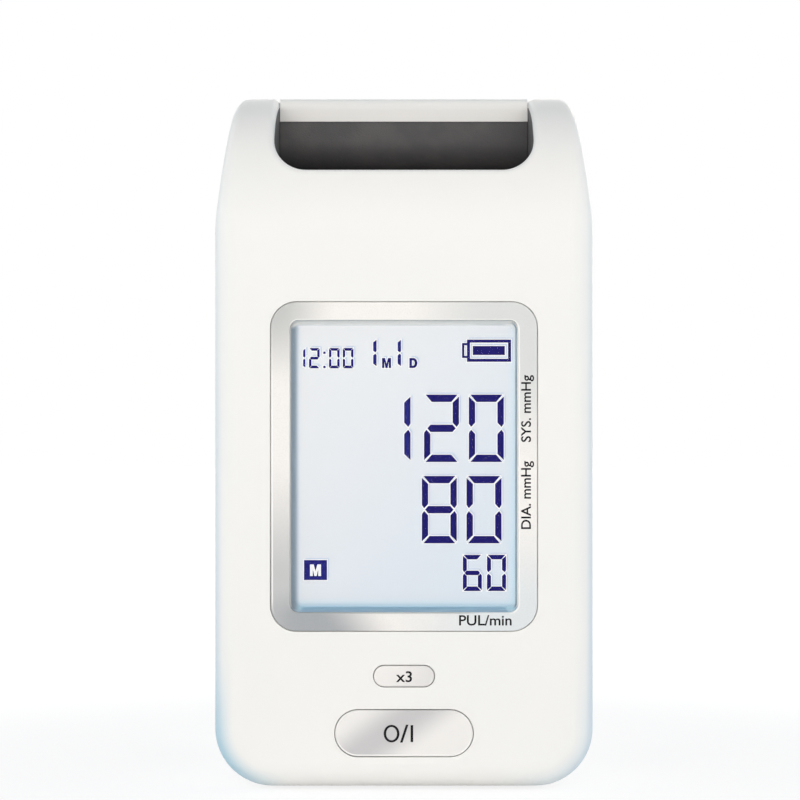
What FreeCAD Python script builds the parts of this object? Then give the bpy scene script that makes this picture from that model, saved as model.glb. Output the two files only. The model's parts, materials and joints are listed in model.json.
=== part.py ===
import FreeCAD, Part
import os
from math import pi, sqrt, hypot, atan, atan2, cos, sin, tan, radians

V = FreeCAD.Vector

# Arm-in blood pressure monitor. Millimetres; +X to the user's right, +Y to the back, +Z up.
# The origin is under the middle of the object, on the table that its feet stand on.
# The arm goes through the tunnel from side to side, behind the upright display panel.

# Cuff and arm tunnel, from the inside out
arm_bore_r = 55.0
sleeve_t = 1.2
sleeve_gap = 0.3
bladder_t = 2.9
bladder_gap = 0.4
liner_t = 2.5
sleeve_end_inset = 3.0
liner_end_inset = 4.5
bladder_end_inset = 8.5
sleeve_r = arm_bore_r + sleeve_t
bladder_r = sleeve_r + sleeve_gap + bladder_t
liner_ir = bladder_r + bladder_gap
liner_r = liner_ir + liner_t

# Housing and the rooms around the tunnel
width = 109.0
wall = 2.5
foot_proud = 1.0
front_bay = 20.2
rear_bay = 13.2
floor_bay = 16.2
button_proud = 0.6
depth = 2 * wall + front_bay + 2 * liner_r + rear_bay
front_y = (button_proud - depth) / 2
rear_y = front_y + depth
front_in_y = front_y + wall
rear_in_y = rear_y - wall
floor_z = foot_proud + wall
side_in_x = width / 2 - wall
tunnel_y = front_in_y + front_bay + liner_r
tunnel_z = floor_z + floor_bay + liner_r

# Outline of the housing
crown_r = 150.0
crown_y = -8.0
front_shoulder_r = 40.0
rear_shoulder_r = 70.0
ear_turn_r = 60.0
ear_lean = atan(0.125)
bottom_corner_r = 16.6
edge_low_r = 7.0
edge_crown_r = 2.5
edge_least_r = 0.8
smooth_angle = 0.2

# Seam between front cover and main housing
seam_low_back = 14.5
seam_high_y = -14.0
seam_drop = 10.0
seam_turn_r = 16.0
seam_lean = radians(60)
seam_groove = 0.6
seam_groove_deep = 0.8
tongue_reach = 3.0
tongue_t = 1.4
tongue_fit = 0.2
tongue_corner = 11.0
tongue_top_drop = 27.0

# Carry handle: a pocket in the crown with a bar across it
pocket_half = 37.8
pocket_tall = 55.0
palm_room = 40.0
pocket_corner_r = 10.0
lip_drop = 26.3
lip_corner_r = 9.5
rim_r = 2.2
well_t = 2.0
well_fit = 0.15
well_above_tunnel = 3.7
bar_depth = 28.0
bar_drop = 23.0
bar_bottom_r = 9.0
bar_top_r = 3.5
bar_fit = 0.15
cap_t = 8.0
cap_seam = 0.4
tenon_depth = 14.0
tenon_tall = 9.0
tenon_long = 7.7
tenon_fit = 0.2
socket_t = 3.0
socket_gap = 1.2
socket_margin = 5.0

# Tunnel mouth rings
ring_flange = 5.5
ring_seat = 0.7
ring_fit = 0.2
ring_stop_gap = 0.05
ring_sunk = 0.1
ring_spigot = 2.0
ring_liner_fit = 0.15
ring_flare = 4.0

# Display, from the front backwards
bezel_side = 5.4
bezel_rail = 5.3
bezel_rise = 9.95
bezel_r = 7.4
bezel_proud = 0.3
bezel_seat = 1.5
bezel_gap = 0.25
bezel_edge_r = 0.5
window_w = 65.5
window_h = 83.6
window_r = 2.5
lens_lap = 1.25
lens_t = 1.5
lens_r = 3.0
lens_gap = 0.2
gasket_t = 0.4
gasket_show = 1.4
glass_t = 2.8
glass_lap = 2.25
backlight_t = 3.0
holder_t = 1.4
holder_wall = 2.8
holder_gap = 0.2
holder_front = 0.2
board_t = 1.6
board_side = 6.5
board_top_gap = 1.1
board_floor_gap = 4.5
board_corner_r = 10.0
board_top_r = 1.0
board_lug_gap = 2.0

# Board posts
post_r = 2.7
post_side = 3.0
post_low_rise = 22.5
post_high_drop = 8.0
screw_r = 1.2
screw_fit = 0.05
screw_head_r = 2.4
screw_head_t = 1.6
screw_cross_w = 0.6
screw_cross_reach = 1.4
screw_cross_deep = 0.8
board_screw_long = 7.0

# Buttons
power_w = 39.5
power_h = 13.3
power_rise = 9.2
mode_w = 17.3
mode_h = 6.0
mode_rise = 6.7
button_gap = 0.25
button_end_flat = 0.006
button_edge_r = 0.5
button_travel = 0.8
button_rim = 1.7
button_rim_t = 1.0
button_rim_gap = 0.1
button_stem_r = 2.0
dome_r = 4.2
dome_top_r = 2.4
dome_t = 0.6
dome_rest = 2.8

# Parts on the back of the board
chip_size = 14.0
chip_t = 1.6
chip_x = -8.0
chip_z = 78.0
buzzer_r = 6.0
buzzer_t = 5.0
buzzer_hole_r = 1.2
buzzer_x = -26.0
buzzer_z = 112.0
capacitor_r = 4.0
capacitor_t = 6.3
capacitor_x = 22.0
capacitor_z = 58.0
plug_w = 8.0
plug_t = 4.5
plug_h = 5.0
plug_wall = 0.8
plug_places = ((-24.0, 40.0), (18.0, 40.0), (-36.0, 62.0))
sensor_size = 9.0
sensor_t = 4.0

# Air pump, lying across the front of the floor
pump_r = 13.5
pump_lift = 1.0
pump_board_gap = 7.5
pump_x = -41.0
motor_r = 12.0
motor_t = 0.8
motor_plate = 1.0
motor_long = 30.5
motor_cap_t = 2.5
motor_cap_plug = 3.0
motor_cap_step = 0.8
terminal_w = 2.5
terminal_long = 1.2
terminal_side = 6.0
shaft_r = 1.0
shaft_fit = 0.05
armature_r = 8.5
armature_long = 19.0
armature_from_cap = 4.0
crank_r = 6.0
crank_off = 1.2
crank_t = 4.0
crank_gap = 1.5
pump_body_long = 16.0
pump_body_wall = 2.0
pump_body_floor = 1.5
pump_body_hole_r = 3.0
diaphragm_t = 2.0
cup_r = 3.6
cup_long = 4.0
cup_ring_r = 6.2
cup_count = 3
head_long = 9.5
head_edge_r = 1.0
nozzle_r = 1.6
nozzle_long = 5.0
foam_t = 1.2
saddle_long = 20.0
saddle_from_cap = 10.5
saddle_rise = 8.5
strap_t = 0.8
strap_wide = 8.0
strap_foot = 4.0
pump_screw_long = 3.6

# Release valve and air ways
hose_r = 2.8
hose_gap = 0.3
spigot_gap = 1.5
spigot_long = 4.5
manifold_w = 10.0
manifold_d = 12.0
manifold_over = 5.0
seat_rise = 4.5
valve_size = 11.0
valve_long = 18.0
valve_plate = 1.0
valve_from_manifold = 6.0
coil_gap = 0.2
plunger_r = 1.9
plunger_fit = 0.05
plunger_travel = 0.8
plunger_stop_gap = 0.2
plunger_head_r = 3.2
plunger_head_t = 0.8
valve_nozzle_in = 0.4
valve_nozzle_rim = 3.0
spring_tall = 4.2
spring_turns = 4
spring_r = 2.6
spring_wire_r = 0.25
port_r = 1.6
port_hole_fit = 0.2
port_long = 5.7
top_spigot_long = 3.5
air_way_r = 0.9
port_bend_share = 0.45
port_slope = radians(45)

# Battery compartment, closed by a door low on the back
battery_x = 4.0
cell_r = 7.1
cell_long = 50.5
nub_r = 2.7
nub_t = 1.2
cell_gap = 0.7
cell_side_gap = 0.3
cell_back_gap = 0.6
cell_edge_r = 0.6
cell_count = 4
contact_t = 0.4
contact_size = 11.0
battery_spring_tall = 2.8
battery_spring_r = 3.2
battery_spring_turns = 2
battery_wire_r = 0.35
box_t = 1.2
box_rim = 5.0
box_rim_t = 1.3
box_rib_t = 0.4
box_rib_deep = 5.0
door_t = 2.2
door_gap = 0.3
door_lap = 2.6
door_low_rise = 4.6
hinge_pin_r = 0.7
hinge_fit = 0.05
hinge_pin_long = 2.0
tab_w = 14.0
tab_h = 3.0
tab_r = 2.0
grip_dent_w = 16.0
grip_dent_h = 9.0
grip_dent_deep = 0.8
grip_rib_h = 0.9
grip_rib_pitch = 2.4
grip_rib_count = 3

# Power inlet low on the back
jack_side_gap = 0.2
jack_w = 9.0
jack_h = 11.0
jack_long = 13.0
jack_rise = 11.0
jack_hole_r = 3.2
jack_bore_r = 2.8
jack_bore_deep = 9.5
jack_pin_r = 1.0
jack_pin_back = 0.8

# Feet and base screws
foot_r = 5.0
foot_sunk = 1.2
foot_edge_r = 0.4
foot_side = 24.5
foot_front_in = 25.2
foot_rear_in = 19.8
cover_tab_side = 15.0
cover_tab_w = 7.0
cover_tab_t = 4.0
cover_tab_reach = 7.0
cover_tab_gap = 0.2
base_head_r = 2.8
base_head_sunk = 1.7
base_screw_long = 4.6
lug_x = 25.0
lug_w = 10.0
lug_t = 4.5
lug_front_reach = 18.7
lug_back_gap = 4.7
lug_screw_in = 6.0
well_screw_long = 6.0
handle_screw_x = 25.0
handle_screw_long = 13.0
handle_screw_rise = 6.0

# The display panel stacks up from the floor, and the taller of it and the tunnel carries the pocket
power_z = foot_proud + power_rise + power_h / 2
mode_z = power_z + power_h / 2 + mode_rise + mode_h / 2
bezel_w = window_w + 2 * bezel_side
bezel_h = window_h + 2 * bezel_rail
bezel_z = mode_z + mode_h / 2 + bezel_rise + bezel_h / 2
glass_w = window_w + 2 * glass_lap
glass_h = window_h + 2 * glass_lap
holder_w = glass_w + 2 * (holder_gap + holder_wall)
holder_h = glass_h + 2 * (holder_gap + holder_wall)
board_half = holder_w / 2 + board_side
board_top = bezel_z + holder_h / 2 + board_top_gap
board_bottom = floor_z + board_floor_gap
tunnel_stack = tunnel_z + liner_r + well_above_tunnel
panel_stack = board_top + board_lug_gap + lug_t
well_floor_z = max(tunnel_stack, panel_stack) + well_t
height = well_floor_z + pocket_tall
far = 2 * height
same = 1e-6


# ---- plain solids ----

def box(x0, x1, y0, y1, z0, z1):
    return Part.makeBox(x1 - x0, y1 - y0, z1 - z0, V(x0, y0, z0))


def rod_x(y, z, r, x0, x1):
    return Part.makeCylinder(r, x1 - x0, V(x0, y, z), V(1, 0, 0))


def rod_y(x, z, r, y0, y1):
    return Part.makeCylinder(r, y1 - y0, V(x, y0, z), V(0, 1, 0))


def rod_z(x, y, r, z0, z1):
    return Part.makeCylinder(r, z1 - z0, V(x, y, z0), V(0, 0, 1))


def tube_x(y, z, r_out, r_in, x0, x1):
    return rod_x(y, z, r_out, x0, x1).cut(rod_x(y, z, r_in, x0, x1))


def tube_y(x, z, r_out, r_in, y0, y1):
    return rod_y(x, z, r_out, y0, y1).cut(rod_y(x, z, r_in, y0, y1))


def rounded_panel(z, w, h, r, y0, y1):
    """A plate of w by h with corners of radius r, upright, centred on x 0."""
    return rounded_bar(w, z - h / 2, z + h / 2, r, r, y0, y1)


def rounded_bar(w, z0, z1, r_low, r_high, y0, y1):
    plate = box(-w / 2, w / 2, y0, y1, z0, z1)
    for r, z in ((r_low, z0), (r_high, z1)):
        along = [e for e in plate.Edges if e.BoundBox.YLength > (y1 - y0) / 2]
        edges = [e for e in along if abs(e.CenterOfMass.z - z) < same]
        if r > 0:
            plate = plate.makeFillet(r, edges)
    return plate


def plan_block(half_x, y0, y1, r, z0, z1):
    """An upright block with rounded corners at its back end, seen from above."""
    block = box(-half_x, half_x, y0, y1, z0, z1)
    upright = [e for e in block.Edges if e.BoundBox.ZLength > (z1 - z0) / 2]
    edges = [e for e in upright if e.BoundBox.YMin > y1 - same]
    return block.makeFillet(r, edges)


def joined(shape, *more):
    return shape.fuse(list(more)).removeSplitter()


def group(shapes):
    return Part.makeCompound([s for shape in shapes for s in shape.Solids])


def mirrored(shape):
    return shape.mirror(V(0, 0, 0), V(1, 0, 0))


def both_sides(shape):
    return [shape, mirrored(shape)]


def write(node, shape):
    shape.exportStep("parts/" + node + ".step")


def screw(at, along, long, head_r=screw_head_r, head_t=screw_head_t):
    """A cross-head screw: at is under its head, and its shank goes along."""
    body = Part.makeCylinder(head_r, head_t)
    half = screw_cross_w / 2
    for across in (box(-screw_cross_reach, screw_cross_reach, -half, half, 0, head_t),
                   box(-half, half, -screw_cross_reach, screw_cross_reach, 0, head_t)):
        across.translate(V(0, 0, head_t - screw_cross_deep))
        body = body.cut(across)
    shank = Part.makeCylinder(screw_r, long, V(0, 0, 0), V(0, 0, -1))
    body = joined(body, shank)
    body.Placement = FreeCAD.Placement(V(*at), FreeCAD.Rotation(V(0, 0, -1), V(*along)))
    return body


def screw_hole(at, along, long):
    return Part.makeCylinder(screw_r + screw_fit, long, V(*at), V(*along))


def coil(r, wire_r, tall, turns):
    """A coil spring standing on z 0, its wire's ends inside that height: half rings, each tilted a little."""
    rise = (tall - 2 * wire_r) / (2 * turns)
    halves = []
    for i in range(2 * turns):
        side = r if i % 2 == 0 else -r
        start = V(side, 0, wire_r + i * rise)
        across = V(-2 * side, 0, rise)
        section = Part.Face(Part.Wire(Part.makeCircle(wire_r, start, V(0, 1, 0))))
        turn = 180 if side > 0 else -180
        halves.append(section.revolve(start + across / 2, across.cross(V(0, 1, 0)), turn))
    return joined(*halves)


# ---- outer form of the housing ----

crown_z = height - crown_r
front_turn_y = front_y + front_shoulder_r
rear_turn_y = rear_y - rear_shoulder_r
front_turn_z = crown_z + sqrt((crown_r - front_shoulder_r) ** 2 - (crown_y - front_turn_y) ** 2)
rear_turn_z = crown_z + sqrt((crown_r - rear_shoulder_r) ** 2 - (rear_turn_y - crown_y) ** 2)


def crown_point(y, z, inset):
    """Where the crown's arc meets the shoulder's arc that is centred on y, z."""
    reach = (crown_r - inset) / hypot(y - crown_y, z - crown_z)
    return (crown_y + (y - crown_y) * reach, crown_z + (z - crown_z) * reach)


def arc_middle(y, z, r, start, end):
    turn = (atan2(start[1] - z, start[0] - y) + atan2(end[1] - z, end[0] - y)) / 2
    return (y + r * cos(turn), z + r * sin(turn))


def side_profile(inset):
    """The side view, as a prism along X: front and back walls, shoulders and crown."""
    front_r = front_shoulder_r - inset
    rear_r = rear_shoulder_r - inset
    low_front = (front_y + inset, -far)
    front = (front_y + inset, front_turn_z)
    front_top = crown_point(front_turn_y, front_turn_z, inset)
    rear_top = crown_point(rear_turn_y, rear_turn_z, inset)
    rear = (rear_y - inset, rear_turn_z)
    low_rear = (rear_y - inset, -far)
    front_mid = arc_middle(front_turn_y, front_turn_z, front_r, front, front_top)
    rear_mid = arc_middle(rear_turn_y, rear_turn_z, rear_r, rear_top, rear)

    def point(p):
        return V(-width, p[0], p[1])
    edges = [Part.LineSegment(point(low_front), point(front)),
             Part.Arc(point(front), point(front_mid), point(front_top)),
             Part.Arc(point(front_top), point((crown_y, height - inset)), point(rear_top)),
             Part.Arc(point(rear_top), point(rear_mid), point(rear)),
             Part.LineSegment(point(rear), point(low_rear)),
             Part.LineSegment(point(low_rear), point(low_front))]
    return Part.Face(Part.Wire([e.toShape() for e in edges])).extrude(V(2 * width, 0, 0))


def front_outline(inset):
    """The front view, as a prism along Y: rounded bottom corners, upright sides, then ears that lean in."""
    half = width / 2 - inset
    corner = bottom_corner_r - inset
    low = foot_proud + inset
    top = height + edge_low_r
    dip = corner * (1 - sqrt(0.5))

    def turned(angle):
        reach = ear_turn_r - inset
        return (width / 2 - ear_turn_r + reach * cos(angle), front_turn_z + reach * sin(angle))

    def point(x, z):
        return V(x, -depth, z)
    middle_x, middle_z = turned(ear_lean / 2)
    lean_x, lean_z = turned(ear_lean)
    top_x = lean_x - (top - lean_z) * tan(ear_lean)
    edges = [Part.LineSegment(point(-half + corner, low), point(half - corner, low)),
             Part.Arc(point(half - corner, low), point(half - dip, low + dip), point(half, low + corner)),
             Part.LineSegment(point(half, low + corner), point(half, front_turn_z)),
             Part.Arc(point(half, front_turn_z), point(middle_x, middle_z), point(lean_x, lean_z)),
             Part.LineSegment(point(lean_x, lean_z), point(top_x, top)),
             Part.LineSegment(point(top_x, top), point(-top_x, top)),
             Part.LineSegment(point(-top_x, top), point(-lean_x, lean_z)),
             Part.Arc(point(-lean_x, lean_z), point(-middle_x, middle_z), point(-half, front_turn_z)),
             Part.LineSegment(point(-half, front_turn_z), point(-half, low + corner)),
             Part.Arc(point(-half, low + corner), point(-half + dip, low + dip), point(-half + corner, low))]
    return Part.Face(Part.Wire([e.toShape() for e in edges])).extrude(V(0, 2 * depth, 0))


def is_sharp(solid, edge):
    middle = edge.valueAt((edge.FirstParameter + edge.LastParameter) / 2)
    normals = []
    for face in solid.ancestorsOfType(edge, Part.Face):
        normals.append(face.normalAt(*face.Surface.parameter(middle)))
    return len(normals) == 2 and normals[0].getAngle(normals[1]) > smooth_angle


def edge_radius(point, inset):
    """The edges' rounding: broad on the upright sides, and finer over the crown."""
    turn_y, turn_z = (front_turn_y, front_turn_z) if point.y < crown_y else (rear_turn_y, rear_turn_z)
    top_z = crown_point(turn_y, turn_z, inset)[1]
    share = min(1, max(0, (point.z - turn_z) / (top_z - turn_z)))
    radius = edge_low_r + (edge_crown_r - edge_low_r) * share
    return max(radius - inset, edge_least_r)


def form(inset):
    """The whole outer form, shrunk by inset all round."""
    solid = side_profile(inset).common(front_outline(inset)).removeSplitter().Solids[0]
    document = FreeCAD.newDocument("form")
    blank = document.addObject("Part::Feature", "blank")
    blank.Shape = solid
    rounded = document.addObject("Part::Fillet", "rounded")
    rounded.Base = blank
    edges = []
    for number, edge in enumerate(solid.Edges, 1):
        if is_sharp(solid, edge):
            start = edge.valueAt(edge.FirstParameter)
            end = edge.valueAt(edge.LastParameter)
            edges.append((number, edge_radius(start, inset), edge_radius(end, inset)))
    rounded.Edges = edges
    document.recompute()
    # The rounding wavers on one side, so the true side is mirrored.
    side = Part.makeBox(width, 4 * depth, 4 * height, V(0, -2 * depth, -height))
    right = rounded.Shape.Solids[0].common(side)
    FreeCAD.closeDocument(document.Name)
    return right.fuse(right.mirror(V(0, 0, 0), V(1, 0, 0))).removeSplitter().Solids[0]


outer_form = form(0)
cavity = form(wall)


# ---- seam and handle pocket ----

seam_low_y = front_y + seam_low_back
seam_start_z = well_floor_z - seam_drop
seam_arc_y = seam_turn_r * (1 - cos(seam_lean))
seam_arc_z = seam_turn_r * sin(seam_lean)
seam_run_y = seam_high_y - seam_low_y - 2 * seam_arc_y
seam_run_z = seam_run_y / tan(seam_lean)


def ahead_of_seam(shift):
    """Everything in front of the seam, with the seam moved back by shift."""
    half_lean = seam_lean / 2
    arc_half_y = seam_turn_r * (1 - cos(half_lean))
    arc_half_z = seam_turn_r * sin(half_lean)
    low = (seam_low_y, -far)
    start = (seam_low_y, seam_start_z)
    first = (seam_low_y + arc_half_y, seam_start_z + arc_half_z)
    lean = (seam_low_y + seam_arc_y, seam_start_z + seam_arc_z)
    lean_end = (lean[0] + seam_run_y, lean[1] + seam_run_z)
    end = (seam_high_y, lean_end[1] + seam_arc_z)
    second = (seam_high_y - arc_half_y, end[1] - arc_half_z)

    def point(p):
        return V(-width, p[0] + shift, p[1])
    edges = [Part.LineSegment(point(low), point(start)),
             Part.Arc(point(start), point(first), point(lean)),
             Part.LineSegment(point(lean), point(lean_end)),
             Part.Arc(point(lean_end), point(second), point(end)),
             Part.LineSegment(point(end), point((seam_high_y, far))),
             Part.LineSegment(point((seam_high_y, far)), point((-far, far))),
             Part.LineSegment(point((-far, far)), point((-far, -far))),
             Part.LineSegment(point((-far, -far)), point(low))]
    return Part.Face(Part.Wire([e.toShape() for e in edges])).extrude(V(2 * width, 0, 0))


cover_side = ahead_of_seam(0)
lip_z = height - lip_drop
bar_y0 = seam_high_y - bar_depth / 2
bar_y1 = seam_high_y + bar_depth / 2
pocket_back_y = bar_y1 + palm_room
bar_z = height - bar_drop
cap_z = height - cap_t
tenon_z = (bar_z + cap_z) / 2


def pocket(grow, z0):
    """The handle pocket's plan, grown by grow, from z0 upwards."""
    return plan_block(pocket_half + grow, -far, pocket_back_y + grow, pocket_corner_r + grow, z0, far)


def notch():
    """The part of the pocket that opens through the front and the crown."""
    front = rounded_bar(2 * pocket_half, lip_z, far, lip_corner_r, lip_corner_r, -far, 0)
    back = box(-far, far, -depth / 4, far, lip_z, far)
    return pocket(0, lip_z).common(joined(front, back))


def rim_edges(solid):
    """The edges where the pocket breaks through the outer surface."""
    found = []
    for edge in solid.Edges:
        middle = edge.valueAt((edge.FirstParameter + edge.LastParameter) / 2)
        inside = abs(middle.x) < pocket_half + rim_r and middle.y < pocket_back_y + rim_r
        if inside and middle.z > lip_z - rim_r and is_sharp(solid, edge):
            if outer_form.Shells[0].distToShape(Part.Vertex(middle))[0] < 1e-3:
                found.append(edge)
    return found


def housing_blank():
    """Both housing shells as one hollow piece, before their own holes and bosses."""
    body = outer_form.cut(notch())
    body = body.makeFillet(rim_r, rim_edges(body))
    shell = body.cut(cavity)
    groove = ahead_of_seam(seam_groove / 2).cut(ahead_of_seam(-seam_groove / 2)).cut(form(seam_groove_deep))
    for side in both_sides(rod_x(tunnel_y, tunnel_z, ring_hole_r, 0, far)):
        shell = shell.cut(side)
    for side in both_sides(rod_x(tunnel_y, tunnel_z, ring_flange_r + ring_fit, side_in_x + ring_seat, far)):
        shell = shell.cut(side)
    return shell.cut(groove)


# ---- places that several pieces share ----

ring_hole_r = liner_r + 1.7
ring_flange_r = liner_r + ring_flange
bezel_back_y = front_y + bezel_seat
lens_back_y = bezel_back_y + lens_t
gasket_back_y = lens_back_y + gasket_t
glass_back_y = gasket_back_y + glass_t
backlight_back_y = glass_back_y + backlight_t
board_y = backlight_back_y + holder_t
board_back_y = board_y + board_t
lens_w = window_w + 2 * lens_lap
lens_h = window_h + 2 * lens_lap
post_x = board_half - post_side
post_zs = (floor_z + post_low_rise, board_top - post_high_drop)
pump_y = board_back_y + pump_board_gap + pump_r
pump_z = floor_z + pump_lift + pump_r
motor_x = pump_x + motor_cap_t
pump_body_x = motor_x + motor_long
diaphragm_x = pump_body_x + pump_body_long
head_x = diaphragm_x + diaphragm_t
nozzle_x = head_x + head_long
spigot_x = nozzle_x + nozzle_long + spigot_gap
manifold_x = spigot_x + spigot_long
air_x = manifold_x + manifold_w / 2
valve_x = manifold_x + valve_size / 2
manifold_y0 = pump_y - manifold_d / 2
manifold_y1 = pump_y + manifold_d / 2
manifold_top = pump_z + manifold_over
seat_z = floor_z + seat_rise
valve_z = seat_z + valve_size / 2
valve_y0 = manifold_y1 + valve_from_manifold
valve_y1 = valve_y0 + valve_long
cell_y = rear_in_y - cell_back_gap - cell_r
cell_pitch = 2 * cell_r + cell_gap
box_half = (cell_count - 1) * cell_pitch / 2 + cell_r + cell_side_gap
box_front_y = cell_y - cell_r - cell_side_gap
cell_low = floor_z + box_t + contact_t
cell_high = cell_low + cell_long + battery_spring_tall
box_top = cell_high + contact_t
door_y = rear_y - door_t
hinge_y = rear_y - door_t / 2
hinge_z = floor_z + door_low_rise
door_half = box_half + box_t + door_lap
door_top = box_top + box_t + door_lap
jack_x = -side_in_x + edge_low_r - wall + jack_side_gap + jack_w / 2
jack_z = floor_z + jack_rise + jack_h / 2
jack_front_y = rear_in_y - jack_long
lug_z = well_floor_z - well_t
lug_front_y = front_in_y + lug_front_reach - lug_screw_in
lug_rear_y = pocket_back_y - lug_back_gap
foot_x = width / 2 - foot_side
foot_front_y = front_y + foot_front_in
foot_rear_y = rear_y - foot_rear_in
cover_tab_x = width / 2 - cover_tab_side
tongue_bottom_half = width / 2 - tongue_corner
cover_tab_z = floor_z + cover_tab_gap
cover_screw_y = seam_low_y + cover_tab_reach / 2
foam_r = motor_r + foam_t
saddle_x0 = pump_x + saddle_from_cap
saddle_x1 = saddle_x0 + saddle_long
saddle_half = foam_r + strap_t + strap_foot
saddle_z = floor_z + saddle_rise
strap_x = (saddle_x0 + saddle_x1) / 2
strap_screw_y = saddle_half - strap_foot / 2
liner_end_x = width / 2 - liner_end_inset
board_screw_in = board_screw_long - board_t + screw_fit
well_screw_in = well_screw_long - well_t + screw_fit


# ---- housing ----

def socket_rib():
    """A plate inside each ear that holds the end of the handle bar."""
    x0 = pocket_half + well_t + socket_gap
    plate = box(x0, x0 + socket_t, seam_high_y - tenon_depth / 2 - socket_margin,
                seam_high_y + tenon_depth / 2 + socket_margin, tenon_z - tenon_tall / 2 - socket_margin, far)
    rib = plate.common(form(wall / 2))
    return rib.cut(tenon_block(tenon_fit, tenon_long + bar_fit))


def tenon_block(grow, long):
    x0 = pocket_half - bar_fit
    half_y = tenon_depth / 2 + grow
    half_z = tenon_tall / 2 + grow
    return box(x0 - grow, x0 + long + grow, seam_high_y - half_y, seam_high_y + half_y,
               tenon_z - half_z, tenon_z + half_z)


def front_cover():
    cover = housing_blank().common(cover_side)
    add = []
    for rib in both_sides(socket_rib().common(ahead_of_seam(-seam_groove / 2))):
        add.append(rib)
    for z in post_zs:
        add += both_sides(rod_y(post_x, z, post_r, front_y + wall / 2, board_y))
    tab = box(cover_tab_x - cover_tab_w / 2, cover_tab_x + cover_tab_w / 2, front_y,
              seam_low_y + cover_tab_reach, cover_tab_z, cover_tab_z + cover_tab_t)
    add += both_sides(cover_tab(tab))
    lug = box(lug_x - lug_w / 2, lug_x + lug_w / 2, front_y, lug_front_y + lug_screw_in, lug_z - lug_t, lug_z)
    add += both_sides(lug.common(form(wall / 2)))
    cover = joined(cover, *add)
    cut = [rounded_panel(bezel_z, bezel_w + 2 * bezel_gap, bezel_h + 2 * bezel_gap, bezel_r + bezel_gap,
                         -far, bezel_back_y),
           rounded_panel(bezel_z, lens_w + 2 * lens_gap, lens_h + 2 * lens_gap, lens_r + lens_gap,
                         -far, front_in_y),
           button_hole(power_z, power_w, power_h), button_hole(mode_z, mode_w, mode_h)]
    for z in post_zs:
        cut += both_sides(screw_hole((post_x, board_y, z), (0, -1, 0), board_screw_in))
    cut += both_sides(screw_hole((cover_tab_x, cover_screw_y, foot_proud), (0, 0, 1),
                                 cover_tab_t + 2 * wall))
    cut += both_sides(screw_hole((lug_x, lug_front_y, lug_z), (0, 0, -1), well_screw_in))
    for piece in cut:
        cover = cover.cut(piece)
    return cover


def cover_tab(tab):
    """A tab that rests on the floor of the housing behind, rooted in the front cover's own floor."""
    lap = tab.common(form(wall + cover_tab_gap))
    reach = tab.BoundBox
    root = floor_block(reach.XMin, reach.XMax, front_y, seam_low_y - seam_groove / 2, reach.ZMax)
    return joined(lap, root)


def button_hole(z, w, h):
    end_r = h / 2 + button_gap - button_end_flat
    return rounded_panel(z, w + 2 * button_gap, h + 2 * button_gap, end_r, -far, front_in_y + wall / 2)


def tongue():
    """The rib round the housing's edge that the front cover slides over."""
    band = ahead_of_seam(tongue_reach).cut(ahead_of_seam(-tongue_reach))
    inside = form(wall + tongue_fit + tongue_t)
    lap = form(wall + tongue_fit).cut(inside).common(band)
    root = form(wall / 2).cut(inside).common(ahead_of_seam(tongue_reach).cut(ahead_of_seam(seam_groove / 2)))
    whole = joined(lap, root)
    whole = whole.cut(box(-far, far, -far, far, height - tongue_top_drop, far))
    whole = whole.cut(box(-pocket_half, pocket_half, -far, far, tunnel_z, far))
    whole = whole.cut(box(-tongue_bottom_half, tongue_bottom_half, -far, far, -far, tunnel_z))
    return whole.cut(rod_x(tunnel_y, tunnel_z, ring_flange_r + ring_fit, -far, far))


def floor_block(x0, x1, y0, y1, z1):
    """A block that stands on the floor, rooted in the wall."""
    return box(x0, x1, y0, y1, foot_proud, z1).common(form(wall / 2))


def main_housing():
    body = housing_blank().cut(cover_side)
    add = both_sides(socket_rib().cut(ahead_of_seam(seam_groove / 2)))
    add.append(tongue())
    lug = box(lug_x - lug_w / 2, lug_x + lug_w / 2, lug_rear_y - lug_screw_in, rear_y, lug_z - lug_t, lug_z)
    add += both_sides(lug.common(form(wall / 2)))
    add.append(floor_block(manifold_x, manifold_x + valve_size, manifold_y0, valve_y1, seat_z))
    add.append(floor_block(jack_x - jack_w / 2, jack_x + jack_w / 2, jack_front_y, rear_in_y,
                           jack_z - jack_h / 2))
    saddle = floor_block(saddle_x0, saddle_x1, pump_y - saddle_half, pump_y + saddle_half, saddle_z)
    add.append(saddle.cut(rod_x(pump_y, pump_z, foam_r, saddle_x0, saddle_x1)))
    body = joined(body, *add)
    pin_hole_half = door_half + hinge_pin_long + hinge_fit
    cut = [box(battery_x - box_half, battery_x + box_half, rear_in_y - wall, rear_in_y,
               floor_z + box_t, box_top),
           rod_x(hinge_y, hinge_z, hinge_pin_r + hinge_fit,
                 battery_x - pin_hole_half, battery_x + pin_hole_half),
           door_hole(), jack_hole()]
    for x in (-foot_x, foot_x):
        for y in (foot_front_y, foot_rear_y):
            cut.append(rod_z(x, y, foot_r, -far, foot_proud + foot_sunk))
    cut += both_sides(rod_z(cover_tab_x, cover_screw_y, base_head_r + 2 * screw_fit, -far,
                            foot_proud + base_head_sunk))
    cut += both_sides(screw_hole((cover_tab_x, cover_screw_y, 0), (0, 0, 1), cover_tab_z + cover_tab_t))
    cut += both_sides(screw_hole((lug_x, lug_rear_y, lug_z), (0, 0, -1), well_screw_in))
    for y in (pump_y - strap_screw_y, pump_y + strap_screw_y):
        cut.append(screw_hole((strap_x, y, saddle_z), (0, 0, -1), pump_screw_long))
    for piece in cut:
        body = body.cut(piece)
    return body


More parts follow.
